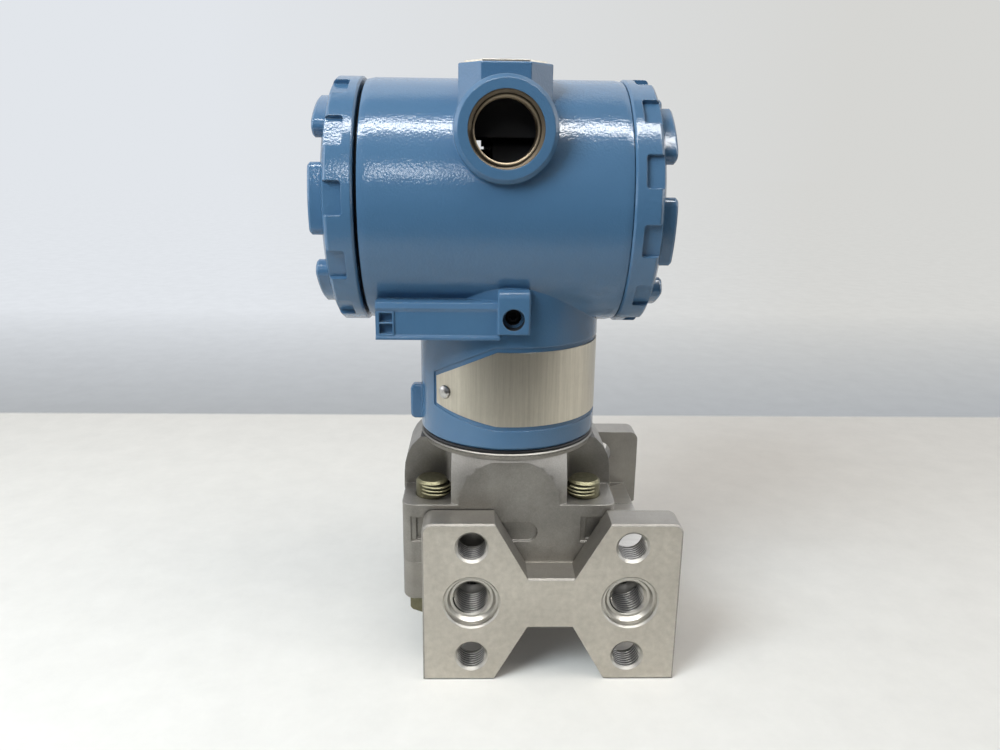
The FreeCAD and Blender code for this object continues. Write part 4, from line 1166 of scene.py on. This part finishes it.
# --- studio ---
@dataclass
class Studio:
    """Camera, table, pale background and lamps."""

    eye: Triple = (-0.0248, -0.2410, 0.1471)
    yaw: float = 1.54
    pitch: float = 15.47
    roll: float = -0.74
    lens: float = 28.8
    sensor: float = 36.0
    nearest: float = 0.01
    aim: Triple = (0.0, 0.043, 0.1)  # where the lamps point
    table_half: float = 6.0
    table_start: float = -0.23   # before this the table is painted dark for reflections and bounce light, a painted shadow on its near part
    table_end: float = 0.293     # beyond this it takes the wall's colour
    fade: float = 0.08
    climb: float = 0.38          # over which the wall turns from the painted shade at its foot
    table: Colour = (0.8, 0.78, 0.75)
    wall: Colour = (0.76, 0.79, 0.83)
    wall_right: Colour = (0.67, 0.67, 0.65)
    wall_foot_shade: Colour = (0.44, 0.46, 0.48)

    def camera(self) -> None:
        """Set up the camera."""
        yaw, pitch, roll = (math.radians(a) for a in (self.yaw, self.pitch, self.roll))
        ahead = Vector((math.sin(yaw) * math.cos(pitch), math.cos(yaw) * math.cos(pitch),
                        -math.sin(pitch)))
        level = Vector((math.cos(yaw), -math.sin(yaw), 0.0))
        down = ahead.cross(level)
        right = level * math.cos(roll) + down * math.sin(roll)
        low = down * math.cos(roll) - level * math.sin(roll)
        data = bpy.data.cameras.new("camera")
        data.lens, data.sensor_width, data.clip_start = self.lens, self.sensor, self.nearest
        eye = bpy.data.objects.new("camera", data)
        eye.matrix_world = Matrix((
            (right.x, -low.x, -ahead.x, self.eye[0]), (right.y, -low.y, -ahead.y, self.eye[1]),
            (right.z, -low.z, -ahead.z, self.eye[2]), (0.0, 0.0, 0.0, 1.0)))
        show(eye)
        bpy.context.scene.camera = eye

    def floor(self) -> None:
        """Lay a wide pale table; past its far edge it takes the background's colour."""
        foot, half = CAD_BOX[0].z, self.table_half
        mesh = bpy.data.meshes.new("table")
        mesh.from_pydata([(-half, -half, foot), (half, -half, foot), (half, half, foot),
                          (-half, half, foot)], [], [(0, 1, 2, 3)])
        table = bpy.data.objects.new("table", mesh)
        show(table)
        material = bpy.data.materials.new("pale_table")
        material.use_nodes = True
        graph = Graph(material.node_tree)
        place = graph.place()
        across, split, _ = graph.add("ShaderNodeSeparateXYZ", {0: place}).outputs
        beyond = graph.ramp(split, self.table_end - 2 * MM, self.table_end + 2 * MM)
        fibre = graph.spread(graph.noise(place, 60.0, 6.0, 0.7), *MIDDLE, 0.97, 1.03)
        # painted shade: the wall is darker at its foot, next to the table
        rise = graph.ramp(split, self.table_end, self.table_end + self.climb)
        slant = graph.calc("DIVIDE", across, graph.calc("ADD", split, 0.25))
        backdrop = graph.blend(rise, self.wall_foot_shade, self.wall_colour(graph, slant))
        tint = graph.blend(beyond, self.table, backdrop)
        tint = graph.add("ShaderNodeVectorMath", {0: tint, 3: fibre}, operation="SCALE").outputs[0]
        path = graph.add("ShaderNodeLightPath").outputs
        # painted shadow: the near table turns dark for every ray but the camera's
        before = graph.spread(split, self.table_start - self.fade,
                              self.table_start + self.fade, 1.0, 0.0)
        painted_shadow = graph.calc("MULTIPLY", before, graph.calc("SUBTRACT", 1.0, path["Is Camera Ray"]))
        tint = graph.blend(painted_shadow, tint, (0.05, 0.05, 0.05))
        lit = graph.add("ShaderNodeBsdfDiffuse", {"Color": tint})
        glow = graph.add("ShaderNodeEmission", {"Color": tint})
        seen = graph.calc("MAXIMUM", path["Is Camera Ray"], path["Is Glossy Ray"])
        share = graph.calc("MULTIPLY", seen, graph.spread(beyond, 0.0, 1.0, 0.02, 1.0))
        both = graph.add("ShaderNodeMixShader",
                         {0: share, 1: lit.outputs[0], 2: glow.outputs[0]})
        graph.add("ShaderNodeOutputMaterial", {"Surface": both.outputs[0]})
        mesh.materials.append(material)

    def sky(self) -> None:
        """Soft surrounding light: pale behind the object, a dim room in front of it."""
        world = bpy.data.worlds.new("studio")
        bpy.context.scene.world = world
        world.use_nodes = True
        graph = Graph(world.node_tree)
        direction = graph.add("ShaderNodeTexCoord").outputs["Generated"]
        across, deep, up = graph.add("ShaderNodeSeparateXYZ", {0: direction}).outputs
        ahead = graph.blend(graph.ramp(up, 0.0, 0.8), (0.03, 0.033, 0.04), (0.3, 0.31, 0.34))
        walls = graph.blend(graph.ramp(up, 0.1, 0.85), (0.6, 0.62, 0.66), (1.35, 1.37, 1.42))
        at_side = graph.ramp(graph.calc("ABSOLUTE", across), 0.8, 0.95)
        window = graph.calc("MULTIPLY", at_side, graph.ramp(up, -0.1, 0.05))
        walls = graph.blend(window, walls, (2.6, 2.65, 2.75))
        below_ceiling = graph.spread(up, 0.9, 0.94, 1.0, 0.0)
        beside = graph.ramp(deep, -0.55, -0.1)
        mirrored = graph.blend(graph.calc("MULTIPLY", beside, below_ceiling), ahead, walls)
        room = graph.ramp(deep, -0.55, 0.5)
        ambient = graph.blend(room, (0.12, 0.125, 0.14), (0.45, 0.455, 0.47))
        path = graph.add("ShaderNodeLightPath").outputs
        colour = graph.blend(path["Is Glossy Ray"], ambient, mirrored)
        colour = graph.blend(path["Is Camera Ray"], colour, self.wall_colour(graph, across))
        glow = graph.add("ShaderNodeBackground", {"Color": colour})
        graph.add("ShaderNodeOutputWorld", {"Surface": glow.outputs[0]})

    def wall_colour(self, graph: Graph, slant: object) -> Socket:
        """Return the wall's colour, which warms and darkens to the right."""
        return graph.blend(graph.ramp(slant, -0.3, 0.4), self.wall, self.wall_right)

    def lamp(self, name: str, place: Triple, size: Span,
             watts: float, colour: Colour = (1.0, 1.0, 1.0), mirrored: bool = True,
             washes: bool = True) -> None:
        """Add a rectangular lamp that faces the instrument.

        Args:
            name: Its name.
            place: Where it hangs.
            size: Its width and height.
            watts: Its power.
            colour: Its colour.
            mirrored: Whether glossy surfaces mirror it.
            washes: Whether it lights matt surfaces.
        """
        data = bpy.data.lights.new(name, "AREA")
        data.shape, (data.size, data.size_y) = "RECTANGLE", size
        data.energy, data.color = watts, colour
        lamp = bpy.data.objects.new(name, data)
        lamp.location = place
        aim = Vector(self.aim) - Vector(place)
        lamp.rotation_euler = aim.to_track_quat("-Z", "Y").to_euler()
        lamp.visible_camera = False
        lamp.visible_glossy, lamp.visible_diffuse = mirrored, washes
        show(lamp)

    def build(self) -> None:
        """Set the stage, the lamps and the camera."""
        bpy.context.scene.view_settings.view_transform = "Standard"
        self.camera()
        self.floor()
        self.sky()
        overhead = (0.0, -0.31, 1.36)
        self.lamp("ceiling_tube", overhead, (2.4, 0.2), 36.0, (1.0, 0.995, 0.98), washes=False)
        self.lamp("ceiling_wash", overhead, (2.4, 0.6), 15.0, (1.0, 0.955, 0.86),
                  mirrored=False)
        self.lamp("side_panel", (-0.17, -1.0, 0.72), (0.12, 0.2), 1.1, washes=False)
        self.lamp("soft_key", (-0.38, -0.34, 0.5), (0.3, 0.3), 3.9, (0.84, 0.94, 1.0),
                  mirrored=False)


def main() -> None:
    """Build every sub-assembly, then the studio."""
    logging.basicConfig(level=logging.INFO, format="%(name)s: %(message)s")
    for part in (ProcessFlange(), SensorModule(), ElectronicsHousing(), Covers(), Plates(),
                 Interior(), Studio()):
        part.build()
        LOG.info("%s done", type(part).__name__)


if __name__ == "__main__":
    main()
